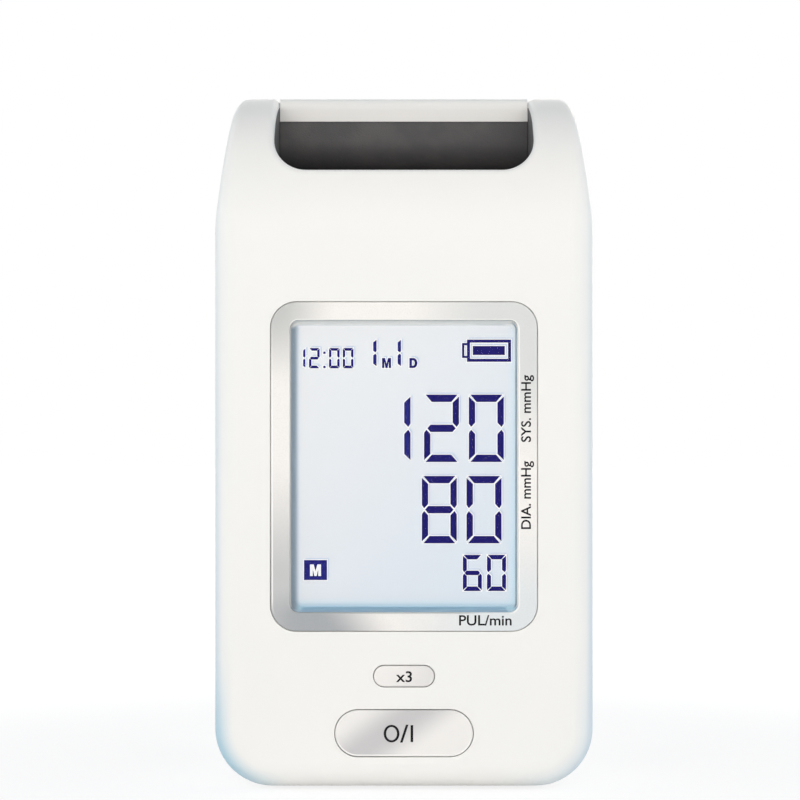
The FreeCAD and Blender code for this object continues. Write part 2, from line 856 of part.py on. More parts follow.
def door_hole():
    """The door's opening, with a notch above it for the door's tab."""
    low = hinge_z - door_t / 2 - door_gap
    opening = rounded_bar(2 * door_half, low, door_top, 0, tab_r, rear_in_y - wall, far)
    tab_notch = rounded_bar(tab_w + 2 * door_gap, door_top - tab_h, door_top + tab_h, 0, tab_r,
                            rear_in_y - wall, far)
    return opening.fuse(tab_notch).translate(V(battery_x, 0, 0))


def jack_hole():
    return rod_y(jack_x, jack_z, jack_hole_r, jack_front_y, far)


def tunnel_ring():
    """The right-hand mouth of the tunnel: a flange set into the side, and a flared throat."""
    face_x = width / 2 - ring_sunk
    seat_x = side_in_x + ring_seat
    lap_x = liner_end_x - ring_spigot
    stop_x = liner_end_x + ring_stop_gap
    throat_r = sleeve_r + ring_fit
    spigot_r = ring_hole_r - ring_fit
    flare_x = face_x - ring_flare
    bulge = ring_flare * sqrt(0.5)

    def point(x, r):
        return V(x, tunnel_y, tunnel_z + r)
    corners = [(lap_x, liner_r + ring_liner_fit), (lap_x, spigot_r), (seat_x, spigot_r),
               (seat_x, ring_flange_r), (face_x, ring_flange_r), (face_x, throat_r + ring_flare)]
    edges = [Part.LineSegment(point(*a), point(*b)) for a, b in zip(corners, corners[1:])]
    edges.append(Part.Arc(point(face_x, throat_r + ring_flare),
                          point(flare_x + bulge, throat_r + ring_flare - bulge), point(flare_x, throat_r)))
    edges += [Part.LineSegment(point(flare_x, throat_r), point(stop_x, throat_r)),
              Part.LineSegment(point(stop_x, throat_r), point(stop_x, liner_r + ring_liner_fit)),
              Part.LineSegment(point(stop_x, liner_r + ring_liner_fit), point(*corners[0]))]
    section = Part.Face(Part.Wire([e.toShape() for e in edges]))
    return section.revolve(V(0, tunnel_y, tunnel_z), V(1, 0, 0), 360)


def rubber_feet():
    feet = []
    for x in (-foot_x, foot_x):
        for y in (foot_front_y, foot_rear_y):
            foot = rod_z(x, y, foot_r - screw_fit, 0, foot_proud + foot_sunk)
            low_edges = [e for e in foot.Edges if e.BoundBox.ZMax < foot_edge_r]
            feet.append(foot.makeFillet(foot_edge_r, low_edges))
    return group(feet)


# ---- handle ----

def handle_well():
    """The dark tub that lines the handle pocket."""
    tub = form(wall + well_fit).common(pocket(well_t, well_floor_z - well_t))
    hollow = form(wall + well_fit + well_t).common(pocket(0, well_floor_z))
    tub = tub.cut(hollow).cut(notch())
    slot = tenon_block(tenon_fit, tenon_long)
    for side in both_sides(joined(slot, tenon_block(tenon_fit, tenon_long).translate(V(0, 0, tenon_tall)))):
        tub = tub.cut(side)
    for y in (lug_front_y, lug_rear_y):
        for side in both_sides(screw_hole((lug_x, y, well_floor_z - well_t), (0, 0, 1), well_t)):
            tub = tub.cut(side)
    return tub


def handle_bar():
    half = pocket_half - bar_fit
    bar = box(-half, half, bar_y0, bar_y1, bar_z, height + wall)
    low_edges = [e for e in bar.Edges if e.BoundBox.XLength > half and e.BoundBox.ZMax < cap_z]
    bar = bar.makeFillet(bar_bottom_r, low_edges).common(outer_form)
    high_edges = [e for e in bar.Edges if e.BoundBox.XLength > half and e.BoundBox.ZMin > cap_z]
    return bar.makeFillet(bar_top_r, high_edges)


def handle_cap():
    cap = handle_bar().common(box(-far, far, -far, far, cap_z, far))
    for side in both_sides(screw_hole((handle_screw_x, seam_high_y, bar_z), (0, 0, 1),
                                      handle_screw_rise + handle_screw_long + screw_fit)):
        cap = cap.cut(side)
    return cap


def handle_grip():
    grip = handle_bar().common(box(-far, far, -far, far, -far, cap_z))
    grip = joined(grip, *both_sides(tenon_block(0, tenon_long)))
    cut = [box(-far, far, bar_y0, bar_y0 + cap_seam, cap_z - cap_seam, cap_z),
           box(-far, far, bar_y1 - cap_seam, bar_y1, cap_z - cap_seam, cap_z)]
    cut += both_sides(screw_hole((handle_screw_x, seam_high_y, bar_z), (0, 0, 1), cap_z - bar_z))
    cut += both_sides(rod_z(handle_screw_x, seam_high_y, screw_head_r + 2 * screw_fit, bar_z,
                            bar_z + handle_screw_rise))
    for piece in cut:
        grip = grip.cut(piece)
    return grip


# ---- display ----

def display_bezel():
    bezel = rounded_panel(bezel_z, bezel_w, bezel_h, bezel_r, front_y - bezel_proud, bezel_back_y)
    front_edges = [e for e in bezel.Edges if e.BoundBox.YMax < front_y]
    bezel = bezel.makeFillet(min(bezel_edge_r, bezel_proud * 0.9), front_edges)
    return bezel.cut(rounded_panel(bezel_z, window_w, window_h, window_r, -far, front_in_y))


def lens_gasket():
    ring = rounded_panel(bezel_z, lens_w, lens_h, lens_r, lens_back_y, gasket_back_y)
    return ring.cut(rounded_panel(bezel_z, window_w - 2 * gasket_show, window_h - 2 * gasket_show, window_r,
                                  lens_back_y, gasket_back_y))


def plain_panel(w, h, y0, y1):
    return box(-w / 2, w / 2, y0, y1, bezel_z - h / 2, bezel_z + h / 2)


def lcd_holder():
    tray = plain_panel(holder_w, holder_h, front_in_y + holder_front, board_y)
    return tray.cut(plain_panel(glass_w + 2 * holder_gap, glass_h + 2 * holder_gap, -far, backlight_back_y))


def circuit_board():
    board = rounded_bar(2 * board_half, board_bottom, board_top, board_corner_r, board_top_r,
                        board_y, board_back_y)
    for z in post_zs:
        for side in both_sides(rod_y(post_x, z, screw_r + screw_fit, board_y, board_back_y)):
            board = board.cut(side)
    return board


def board_screws():
    screws = []
    for z in post_zs:
        screws += both_sides(screw((post_x, board_back_y, z), (0, -1, 0), board_screw_long))
    return group(screws)


def on_board(x, z, w, t, h):
    return box(x - w / 2, x + w / 2, board_back_y, board_back_y + t, z - h / 2, z + h / 2)


def buzzer():
    can = rod_y(buzzer_x, buzzer_z, buzzer_r, board_back_y, board_back_y + buzzer_t)
    return can.cut(rod_y(buzzer_x, buzzer_z, buzzer_hole_r, board_back_y + buzzer_t / 2, far))


def board_plugs():
    plugs = []
    for x, z in plug_places:
        shell = on_board(x, z, plug_w, plug_t, plug_h)
        hollow = on_board(x, z, plug_w - 2 * plug_wall, plug_t, plug_h - 2 * plug_wall)
        plugs.append(shell.cut(hollow.translate(V(0, plug_wall, 0))))
    return group(plugs)


def pressure_sensor():
    body = on_board(air_x, pump_z, sensor_size, sensor_t, sensor_size)
    body = joined(body, rod_y(air_x, pump_z, nozzle_r, board_back_y, board_back_y + sensor_t + spigot_long))
    return body.cut(rod_y(air_x, pump_z, air_way_r, board_back_y + sensor_t / 2, far))


# ---- buttons ----

rim_front_y = front_in_y + button_rim_gap
rim_back_y = rim_front_y + button_rim_t
dome_tall = button_travel + dome_rest
dome_front_y = board_y - dome_tall


def button(z, w, h):
    """A cap that stands proud of the panel, a rim behind the panel and a stem down to its dome."""
    cap = rounded_panel(z, w, h, h / 2 - button_end_flat, front_y - button_proud, rim_front_y)
    front_edges = [e for e in cap.Edges if e.BoundBox.YMax < front_y - button_proud / 2]
    cap = cap.makeFillet(button_edge_r, front_edges)
    rim_h = h + 2 * button_rim
    rim = rounded_panel(z, w + 2 * button_rim, rim_h, rim_h / 2 - button_end_flat, rim_front_y, rim_back_y)
    return joined(cap, rim, rod_y(0, z, button_stem_r, rim_back_y, dome_front_y))


def dome(z):
    """A rubber dome on the board, which springs its button back."""
    outer = Part.makeCone(dome_r, dome_top_r, dome_tall, V(0, board_y, z), V(0, -1, 0))
    inner = Part.makeCone(dome_r - dome_t, dome_top_r - dome_t, dome_tall - dome_t,
                          V(0, board_y, z), V(0, -1, 0))
    return outer.cut(inner)


# ---- air pump ----

def pump_motor_can():
    can = rod_x(pump_y, pump_z, motor_r, motor_x, pump_body_x)
    can = can.cut(rod_x(pump_y, pump_z, motor_r - motor_t, motor_x, pump_body_x - motor_plate))
    return can.cut(rod_x(pump_y, pump_z, shaft_r + shaft_fit, motor_x, pump_body_x))


def pump_end_cap():
    cap = rod_x(pump_y, pump_z, motor_r - motor_cap_step, pump_x, motor_x)
    plug = rod_x(pump_y, pump_z, motor_r - motor_t - screw_fit, motor_x, motor_x + motor_cap_plug)
    terminals = [box(pump_x - terminal_long, pump_x, y - terminal_w / 2, y + terminal_w / 2,
                     pump_z, pump_z + motor_t)
                 for y in (pump_y - terminal_side, pump_y + terminal_side)]
    return joined(cap, plug, *terminals).cut(rod_x(pump_y, pump_z, shaft_r + shaft_fit, pump_x, far))


def pump_rotor():
    crank_x = pump_body_x + pump_body_floor + crank_gap
    armature_x = motor_x + motor_cap_plug + armature_from_cap
    shaft = rod_x(pump_y, pump_z, shaft_r, pump_x + motor_cap_step, crank_x + crank_t)
    armature = rod_x(pump_y, pump_z, armature_r, armature_x, armature_x + armature_long)
    return joined(shaft, armature, rod_x(pump_y, pump_z - crank_off, crank_r, crank_x, crank_x + crank_t))


def pump_body():
    body = rod_x(pump_y, pump_z, pump_r, pump_body_x, diaphragm_x)
    hollow = rod_x(pump_y, pump_z, pump_r - pump_body_wall, pump_body_x + pump_body_floor, diaphragm_x)
    return body.cut(hollow).cut(rod_x(pump_y, pump_z, pump_body_hole_r, pump_body_x, diaphragm_x))


def pump_diaphragm():
    sheet = rod_x(pump_y, pump_z, pump_r, diaphragm_x, head_x)
    cups = []
    for i in range(cup_count):
        turn = radians(90 + 360 / cup_count * i)
        cups.append(rod_x(pump_y + cup_ring_r * cos(turn), pump_z + cup_ring_r * sin(turn), cup_r,
                          diaphragm_x - cup_long, diaphragm_x + diaphragm_t / 2))
    return joined(sheet, *cups)


def pump_head():
    head = rod_x(pump_y, pump_z, pump_r, head_x, nozzle_x)
    head = head.makeFillet(head_edge_r, [e for e in head.Edges if e.BoundBox.XMin > nozzle_x - 1e-3])
    head = joined(head, rod_x(pump_y, pump_z, nozzle_r, head_x, nozzle_x + nozzle_long))
    return head.cut(rod_x(pump_y, pump_z, air_way_r, nozzle_x, far))


def pump_strap():
    x0 = strap_x - strap_wide / 2
    x1 = strap_x + strap_wide / 2
    strap = rod_x(pump_y, pump_z, foam_r + strap_t, x0, x1)
    strap = strap.common(box(x0, x1, -far, far, saddle_z, far))
    feet = box(x0, x1, pump_y - saddle_half, pump_y + saddle_half, saddle_z, saddle_z + strap_t)
    strap = joined(strap, feet)
    strap = strap.cut(rod_x(pump_y, pump_z, foam_r, x0, x1))
    for y in (pump_y - strap_screw_y, pump_y + strap_screw_y):
        strap = strap.cut(screw_hole((strap_x, y, saddle_z), (0, 0, 1), strap_t))
    return strap


# ---- release valve and air ways ----

valve_nozzle_end = valve_y0 + valve_plate + valve_nozzle_in


def air_manifold():
    block = box(manifold_x, manifold_x + manifold_w, manifold_y0, manifold_y1, seat_z, manifold_top)
    spigots = [rod_x(pump_y, pump_z, nozzle_r, spigot_x, air_x),
               rod_y(air_x, pump_z, nozzle_r, manifold_y0 - spigot_long, pump_y),
               rod_z(air_x, pump_y, nozzle_r, pump_z, manifold_top + top_spigot_long)]
    ways = [rod_x(pump_y, pump_z, air_way_r, spigot_x, air_x),
            rod_y(air_x, pump_z, air_way_r, manifold_y0 - spigot_long, pump_y),
            rod_z(air_x, pump_y, air_way_r, valve_z, far),
            rod_y(air_x, valve_z, air_way_r, pump_y, manifold_y1)]
    block = joined(block, *spigots)
    for way in ways:
        block = block.cut(way)
    return block


def valve_frame():
    frame = box(manifold_x, manifold_x + valve_size, valve_y0, valve_y1, seat_z, seat_z + valve_size)
    frame = frame.cut(box(-far, far, valve_y0 + valve_plate, valve_y1 - valve_plate,
                          seat_z + valve_plate, seat_z + valve_size - valve_plate))
    frame = frame.cut(rod_y(valve_x, valve_z, nozzle_r, valve_y0, valve_y0 + valve_plate))
    return frame.cut(rod_y(valve_x, valve_z, plunger_r + plunger_fit, valve_y1 - valve_plate, valve_y1))


def valve_coil():
    return tube_y(valve_x, valve_z, valve_size / 2 - valve_plate - coil_gap, plunger_r + plunger_fit,
                  valve_y0 + valve_plate, valve_y1 - valve_plate)


def valve_nozzle():
    nozzle = joined(rod_y(valve_x, valve_z, nozzle_r, manifold_y1, valve_nozzle_end),
                    rod_y(valve_x, valve_z, valve_nozzle_rim, valve_y0 - valve_plate, valve_y0))
    return nozzle.cut(rod_y(valve_x, valve_z, air_way_r, manifold_y1, valve_nozzle_end))


def valve_plunger():
    tip_y = valve_nozzle_end + plunger_travel + plunger_stop_gap
    head_y = valve_y1 + spring_tall
    return joined(rod_y(valve_x, valve_z, plunger_r, tip_y, head_y),
                  rod_y(valve_x, valve_z, plunger_head_r, head_y, head_y + plunger_head_t))


def valve_spring():
    spring = coil(spring_r, spring_wire_r, spring_tall, spring_turns)
    spring.rotate(V(0, 0, 0), V(1, 0, 0), -90)
    spring.translate(V(valve_x, valve_y1, valve_z))
    return spring


def cuff_port_point(r):
    """A point on the line of the bladder's port, r from the tunnel's axis."""
    return V(air_x, tunnel_y - r * cos(port_slope), tunnel_z - r * sin(port_slope))


def bent_rod(start, corner, end, r):
    """A rod of radius r along two runs with one tangent arc between them."""
    into = (corner - start).normalize()
    out = (end - corner).normalize()
    turn = into.getAngle(out)
    short = min((corner - start).Length, (end - corner).Length)
    bend_r = port_bend_share * short / tan(turn / 2)
    back = port_bend_share * short
    a = corner - into * back
    b = corner + out * back
    inward = (out - into).normalize()
    middle = corner + inward * (bend_r / cos(turn / 2) - bend_r)
    edges = [Part.LineSegment(start, a), Part.Arc(a, middle, b), Part.LineSegment(b, end)]
    section = Part.Wire(Part.Circle(start, into, r).toShape())
    return Part.Wire([e.toShape() for e in edges]).makePipeShell([section], True, False)


def cuff_hose():
    corner_r = (tunnel_y - pump_y) / cos(port_slope)
    start = V(air_x, pump_y, manifold_top + hose_gap)
    end = cuff_port_point(liner_r + hose_gap)
    corner = cuff_port_point(corner_r)
    return bent_rod(start, corner, end, hose_r).cut(bent_rod(start, corner, end, nozzle_r))


def port_rod(r, r0, r1):
    start = cuff_port_point(r0)
    return Part.makeCylinder(r, r1 - r0, start, cuff_port_point(r1) - start)


def cuff_bladder():
    half = width / 2 - bladder_end_inset
    ring = tube_x(tunnel_y, tunnel_z, bladder_r, bladder_r - bladder_t, -half, half)
    ring = joined(ring, port_rod(port_r, bladder_r - bladder_t / 2, liner_r + port_long))
    return ring.cut(port_rod(air_way_r, bladder_r - bladder_t / 2, far))


def tunnel_liner():
    liner = tube_x(tunnel_y, tunnel_z, liner_r, liner_ir, -liner_end_x, liner_end_x)
    return liner.cut(port_rod(port_r + port_hole_fit, bladder_r - bladder_t, far))


# ---- batteries ----

def cell_x(i):
    return battery_x + (i - (cell_count - 1) / 2) * cell_pitch


def nub_is_up(i):
    return i % 2 == 0


def battery_cell(i):
    x = cell_x(i)
    low = cell_low + battery_spring_tall if nub_is_up(i) else cell_low + nub_t
    can = rod_z(x, cell_y, cell_r, low, low + cell_long - nub_t)
    can = can.makeFillet(cell_edge_r, [e for e in can.Edges if e.BoundBox.ZLength < 1e-6])
    nub_z = low + cell_long - nub_t if nub_is_up(i) else cell_low
    return joined(can, rod_z(x, cell_y, nub_r, nub_z, nub_z + nub_t))


def battery_springs():
    springs = []
    for i in range(cell_count):
        spring = coil(battery_spring_r, battery_wire_r, battery_spring_tall, battery_spring_turns)
        spring.translate(V(cell_x(i), cell_y, cell_low if nub_is_up(i) else cell_low + cell_long))
        springs.append(spring)
    return group(springs)


def battery_contacts():
    plates = []
    half = contact_size / 2
    for i in range(cell_count):
        for z in (cell_low - contact_t, cell_high):
            plates.append(box(cell_x(i) - half, cell_x(i) + half, cell_y - half, cell_y + half,
                              z, z + contact_t))
    return group(plates)


def battery_box():
    outer_half = box_half + box_t
    rim_half = outer_half + box_rim
    shell = box(battery_x - outer_half, battery_x + outer_half, box_front_y - box_t, rear_in_y,
                floor_z, box_top + box_t)
    rim = box(battery_x - rim_half, battery_x + rim_half, rear_in_y - box_rim_t, rear_in_y,
              floor_z, box_top + box_t + box_rim)
    shell = joined(shell, rim).common(cavity)
    shell = shell.cut(box(battery_x - box_half, battery_x + box_half, box_front_y, far,
                          floor_z + box_t, box_top))
    ribs = []
    for i in range(cell_count - 1):
        x = (cell_x(i) + cell_x(i + 1)) / 2
        ribs.append(box(x - box_rib_t / 2, x + box_rib_t / 2, box_front_y, box_front_y + box_rib_deep,
                        floor_z + box_t, box_top))
    return joined(shell, *ribs)


def battery_door():
    half = door_half - door_gap
    pin_half = door_half + hinge_pin_long
    top = door_top - door_gap
    door = joined(rounded_bar(2 * half, hinge_z, top, 0, tab_r, door_y, rear_y),
                  rod_x(hinge_y, hinge_z, door_t / 2, -half, half),
                  rod_x(hinge_y, hinge_z, hinge_pin_r, -pin_half, pin_half),
                  rounded_bar(tab_w, top - tab_h, top + tab_h, 0, tab_r, door_y, rear_y))
    dent_z = top - grip_dent_h
    dent = rounded_panel(dent_z, grip_dent_w, grip_dent_h, tab_r, rear_y - grip_dent_deep, far)
    door = door.cut(dent)
    ribs = []
    for i in range(grip_rib_count):
        z = dent_z + (i - (grip_rib_count - 1) / 2) * grip_rib_pitch
        ribs.append(box(-grip_dent_w / 2 + tab_r, grip_dent_w / 2 - tab_r, rear_y - grip_dent_deep,
                        rear_y - grip_dent_deep / 4, z - grip_rib_h / 2, z + grip_rib_h / 2))
    return joined(door, *ribs).translate(V(battery_x, 0, 0))


# ---- power inlet ----

def dc_jack():
    body = box(jack_x - jack_w / 2, jack_x + jack_w / 2, jack_front_y, rear_in_y,
               jack_z - jack_h / 2, jack_z + jack_h / 2)
    return body.cut(rod_y(jack_x, jack_z, jack_bore_r, rear_in_y - jack_bore_deep, rear_in_y))


def dc_jack_pin():
    start = rear_in_y - jack_bore_deep
    return rod_y(jack_x, jack_z, jack_pin_r, start, rear_in_y - jack_pin_back)


# ---- write every node ----

os.makedirs("parts", exist_ok=True)

write("front_cover", front_cover())
write("main_housing", main_housing())
write("tunnel_ring_right", tunnel_ring())
write("tunnel_ring_left", mirrored(tunnel_ring()))
write("tunnel_liner", tunnel_liner())
write("cuff_bladder", cuff_bladder())
sleeve_half = width / 2 - sleeve_end_inset
write("cuff_sleeve", tube_x(tunnel_y, tunnel_z, sleeve_r, arm_bore_r, -sleeve_half, sleeve_half))
write("rubber_feet", rubber_feet())
base_screw = screw((cover_tab_x, cover_screw_y, foot_proud + base_head_sunk), (0, 0, 1),
                   base_screw_long, base_head_r)
write("base_screws", group(both_sides(base_screw)))

write("handle_well", handle_well())
write("handle_cap", handle_cap())
write("handle_grip", handle_grip())
handle_screw = screw((handle_screw_x, seam_high_y, bar_z + handle_screw_rise), (0, 0, 1), handle_screw_long)
write("handle_screws", group(both_sides(handle_screw)))
well_screws = [screw((lug_x, y, well_floor_z), (0, 0, -1), well_screw_long)
               for y in (lug_front_y, lug_rear_y)]
write("well_screws", group([side for one in well_screws for side in both_sides(one)]))

write("display_bezel", display_bezel())
write("display_lens", rounded_panel(bezel_z, lens_w, lens_h, lens_r, bezel_back_y, lens_back_y))
write("lens_gasket", lens_gasket())
write("lcd_glass", plain_panel(glass_w, glass_h, gasket_back_y, glass_back_y))
write("lcd_backlight", plain_panel(glass_w, glass_h, glass_back_y, backlight_back_y))
write("lcd_holder", lcd_holder())

write("circuit_board", circuit_board())
write("board_screws", board_screws())
write("processor_chip", on_board(chip_x, chip_z, chip_size, chip_t, chip_size))
write("buzzer", buzzer())
write("capacitor", rod_y(capacitor_x, capacitor_z, capacitor_r, board_back_y, board_back_y + capacitor_t))
write("board_plugs", board_plugs())
write("pressure_sensor", pressure_sensor())

write("power_button", button(power_z, power_w, power_h))
write("power_dome", dome(power_z))
write("mode_button", button(mode_z, mode_w, mode_h))
write("mode_dome", dome(mode_z))

write("pump_motor_can", pump_motor_can())
write("pump_end_cap", pump_end_cap())
write("pump_rotor", pump_rotor())
write("pump_body", pump_body())
write("pump_diaphragm", pump_diaphragm())
write("pump_head", pump_head())
write("pump_foam", tube_x(pump_y, pump_z, foam_r, motor_r, saddle_x0, saddle_x1))
write("pump_strap", pump_strap())
write("pump_screws", group([screw((strap_x, y, saddle_z + strap_t), (0, 0, -1), pump_screw_long)
                            for y in (pump_y - strap_screw_y, pump_y + strap_screw_y)]))

write("air_manifold", air_manifold())
write("valve_frame", valve_frame())
write("valve_coil", valve_coil())
write("valve_nozzle", valve_nozzle())
write("valve_plunger", valve_plunger())
write("valve_spring", valve_spring())
write("pump_hose", tube_x(pump_y, pump_z, hose_r, nozzle_r, nozzle_x + hose_gap, manifold_x - hose_gap))
write("sensor_hose", tube_y(air_x, pump_z, hose_r, nozzle_r, board_back_y + sensor_t + hose_gap,
                            manifold_y0 - hose_gap))
write("cuff_hose", cuff_hose())

write("battery_box", battery_box())
write("battery_contacts", battery_contacts())
write("battery_springs", battery_springs())
for number in range(cell_count):
    write("battery_cell_" + str(number + 1), battery_cell(number))
write("battery_door", battery_door())
write("dc_jack", dc_jack())
write("dc_jack_pin", dc_jack_pin())
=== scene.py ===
import json
import bpy
import bmesh
from math import pi, sin, cos, tanh, radians, hypot
from mathutils import Vector, Matrix, noise


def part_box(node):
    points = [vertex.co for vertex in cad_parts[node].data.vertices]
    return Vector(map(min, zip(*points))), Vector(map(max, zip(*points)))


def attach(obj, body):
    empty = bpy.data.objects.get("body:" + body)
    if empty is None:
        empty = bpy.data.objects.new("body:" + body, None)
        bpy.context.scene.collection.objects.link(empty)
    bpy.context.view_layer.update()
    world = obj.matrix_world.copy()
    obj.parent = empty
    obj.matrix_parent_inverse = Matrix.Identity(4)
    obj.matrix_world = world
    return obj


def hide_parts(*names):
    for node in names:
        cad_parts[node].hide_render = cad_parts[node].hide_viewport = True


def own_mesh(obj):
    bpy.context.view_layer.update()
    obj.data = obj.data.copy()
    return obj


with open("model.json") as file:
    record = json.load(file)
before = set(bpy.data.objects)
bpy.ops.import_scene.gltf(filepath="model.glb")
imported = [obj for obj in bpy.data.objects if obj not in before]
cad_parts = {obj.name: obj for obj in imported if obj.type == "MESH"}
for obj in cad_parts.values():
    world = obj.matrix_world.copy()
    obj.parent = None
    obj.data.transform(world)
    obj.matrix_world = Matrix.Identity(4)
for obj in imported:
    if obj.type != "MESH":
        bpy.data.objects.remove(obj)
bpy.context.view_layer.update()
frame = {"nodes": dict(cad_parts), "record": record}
nodes = frame["nodes"]
scene = bpy.context.scene
mm = 0.001


def placed(node):
    # a solid's lowest and highest corners in millimetres
    return [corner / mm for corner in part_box(node)]


# places that several pieces share, in millimetres
tunnel = {"y": 3.8, "z": 82.0, "boreR": 55.0, "halfLength": 51.5}
glassY = placed("lcd_glass")[0].y
bezelY = placed("display_bezel")[0].y
buttonY = placed("power_button")[0].y


def tone(red, green, blue):
    # a colour as a paint chart gives it, turned into light
    return tuple(c / 12.92 if c <= 0.04045 else ((c + 0.055) / 1.055) ** 2.4
                 for c in (red / 255, green / 255, blue / 255))


class Value:
    # one output socket; arithmetic on it adds the Math nodes
    def __init__(self, tree, socket):
        self.tree = tree
        self.socket = socket

    def out(self, name):
        return Value(self.tree, self.socket.node.outputs[name])

    def maths(self, operation, first, second=None):
        return self.tree.add("ShaderNodeMath", {"operation": operation}, {0: first, 1: second})

    def __add__(self, other):
        return self.maths("ADD", self, other)

    def __sub__(self, other):
        return self.maths("SUBTRACT", self, other)

    def __rsub__(self, other):
        return self.maths("SUBTRACT", other, self)

    def __mul__(self, other):
        return self.maths("MULTIPLY", self, other)

    def __truediv__(self, other):
        return self.maths("DIVIDE", self, other)

    def __pow__(self, other):
        return self.maths("POWER", self, other)

    def __or__(self, other):
        return self.maths("MAXIMUM", self, other)

    def sine(self):
        return self.maths("SINE", self)

    def size(self):
        return self.maths("ABSOLUTE", self)

    def rise(self, low, high):
        # 0 below low, 1 above high, and an even swell between them
        return self.tree.add("ShaderNodeMapRange", {"interpolation_type": "SMOOTHSTEP"},
                             {"Value": self, "From Min": low, "From Max": high})

    def fall(self, low, high):
        return 1 - self.rise(low, high)

    def within(self, low, full, fade, high):
        # 0 outside low and high, 1 between full and fade
        return self.rise(low, full) * self.fall(fade, high)


class Tree:
    def __init__(self, tree):
        self.tree = tree
        tree.nodes.clear()

    def add(self, kind, settings=None, sockets=None):
        node = self.tree.nodes.new(kind)
        for name, setting in (settings or {}).items():
            setattr(node, name, setting)
        for name, value in (sockets or {}).items():
            if value is None:
                continue
            socket = node.inputs[name]
            if isinstance(value, Value):
                self.tree.links.new(value.socket, socket)
            elif socket.type == "RGBA" and len(value) == 3:
                socket.default_value = (*value, 1)
            else:
                socket.default_value = value
        return Value(self, node.outputs[0]) if node.outputs else None

    def mix(self, share, first, second):
        # from first to second as share goes from 0 to 1
        mixed = self.add("ShaderNodeMix", {"data_type": "RGBA"}, {0: share, 6: first, 7: second})
        return mixed.out(2)


class Finish(Tree):
    def __init__(self, name):
        self.material = bpy.data.materials.new(name)
        self.material.use_nodes = True
        super().__init__(self.material.node_tree)
        self.place = self.add("ShaderNodeTexCoord").out("Object")
        axes = self.add("ShaderNodeSeparateXYZ", None, {0: self.place})
        self.x, self.y, self.z = (axes.out(i) / mm for i in range(3))

    def cloud(self, size, detail=3, stretch=None):
        # soft random patches of about that many millimetres
        place = self.place
        if stretch:
            place = self.add("ShaderNodeMapping", None, {"Vector": place, "Scale": stretch})
        sockets = {"Vector": place, "Scale": 1 / (size * mm), "Detail": detail}
        return self.add("ShaderNodeTexNoise", None, sockets)

    def cells(self, size):
        return self.add("ShaderNodeTexVoronoi", None, {"Vector": self.place, "Scale": 1 / (size * mm)})

    def bump(self, height, depth):
        # depth is in millimetres
        return self.add("ShaderNodeBump", None, {"Height": height, "Distance": depth * mm, "Strength": 1.0})

    def inside(self, outline, shiftX=0.0, shiftZ=0.0):
        # millimetres in from the rim of a rounded rectangle
        middleX, middleZ, halfX, halfZ, corner = outline
        beyondX = ((self.x - (middleX + shiftX)).size() - (halfX - corner)) | 0.0
        beyondZ = ((self.z - (middleZ + shiftZ)).size() - (halfZ - corner)) | 0.0
        return corner - (beyondX * beyondX + beyondZ * beyondZ) ** 0.5

    def surface(self, sockets):
        shader = self.add("ShaderNodeBsdfPrincipled", None, sockets)
        self.add("ShaderNodeOutputMaterial", None, {"Surface": shader})
        return self.material


def frontOutline(node, corner, inset=0.0):
    # a node's rounded rectangle seen from the front: middle, half sizes, corner radius
    low, high = placed(node)
    middle, half = (low + high) / 2, (high - low) / 2
    return middle.x, middle.z, half.x - inset, half.z - inset, corner


usual = {"patch": 12, "grain": 0.5, "stretch": None, "spread": 0.15, "metal": 0.0, "depth": 0.02,
         "clouding": (0.4, 0.65), "speck": 1.1, "speckle": (0.05, 0.22), "speckShare": 0.25, "more": {}}


def moulded(name, look):
    # a plain moulded, turned or pressed piece
    look = {**usual, **look}
    paint = Finish(name)
    grain = paint.cloud(look["grain"], 2, look["stretch"])
    clouding = paint.cloud(look["patch"]).rise(*look["clouding"])
    speckle = paint.cells(look["speck"]).fall(*look["speckle"]) * look["speckShare"]
    colour = paint.mix(clouding, look["colour"], look["shade"])
    return paint.surface({
        "Base Color": paint.mix(speckle, colour, look["shade"]),
        "Roughness": grain * look["spread"] + look["rough"],
        "Metallic": look["metal"],
        "Normal": paint.bump(grain, look["depth"]),
        **look["more"]})


shell = {"colour": tone(249, 248, 245), "cloudy": tone(247, 247, 244), "scuffed": tone(236, 235, 231),
         "rough": 0.4, "spread": 0.07, "grain": 0.45, "grainDepth": 0.006,
         "patch": 34, "clouding": (0.35, 0.7), "rubSize": 5, "rubbing": (0.6, 0.75), "rubShare": 0.12,
         "scuffSize": 2.2, "scuffStretch": (1, 1, 0.35), "scuffing": (0.55, 0.68),
         "scuffZ": (1.5, 4.0), "scuffShare": 0.5}
# painted shade on the front's edge: pale blue along both sides, and bluer in the lower left corner
paintedEdgeShade = {"pale": tone(216, 231, 240), "blue": tone(178, 214, 229), "cornerR": 16.6, "top": 220.0,
        "frontY": (-76, -68), "sideX": (40, 52), "sideZ": (10, 210),
        "sideRim": (0.3, 2.6), "sideShare": 0.75,
        "right": {"squash": 1.4, "reach": (10, 42), "rim": (0.5, 6.5), "share": 0.5},
        "left": {"squash": 1.9, "reach": (6, 44), "rim": (0.5, 6.2), "share": 0.9}}
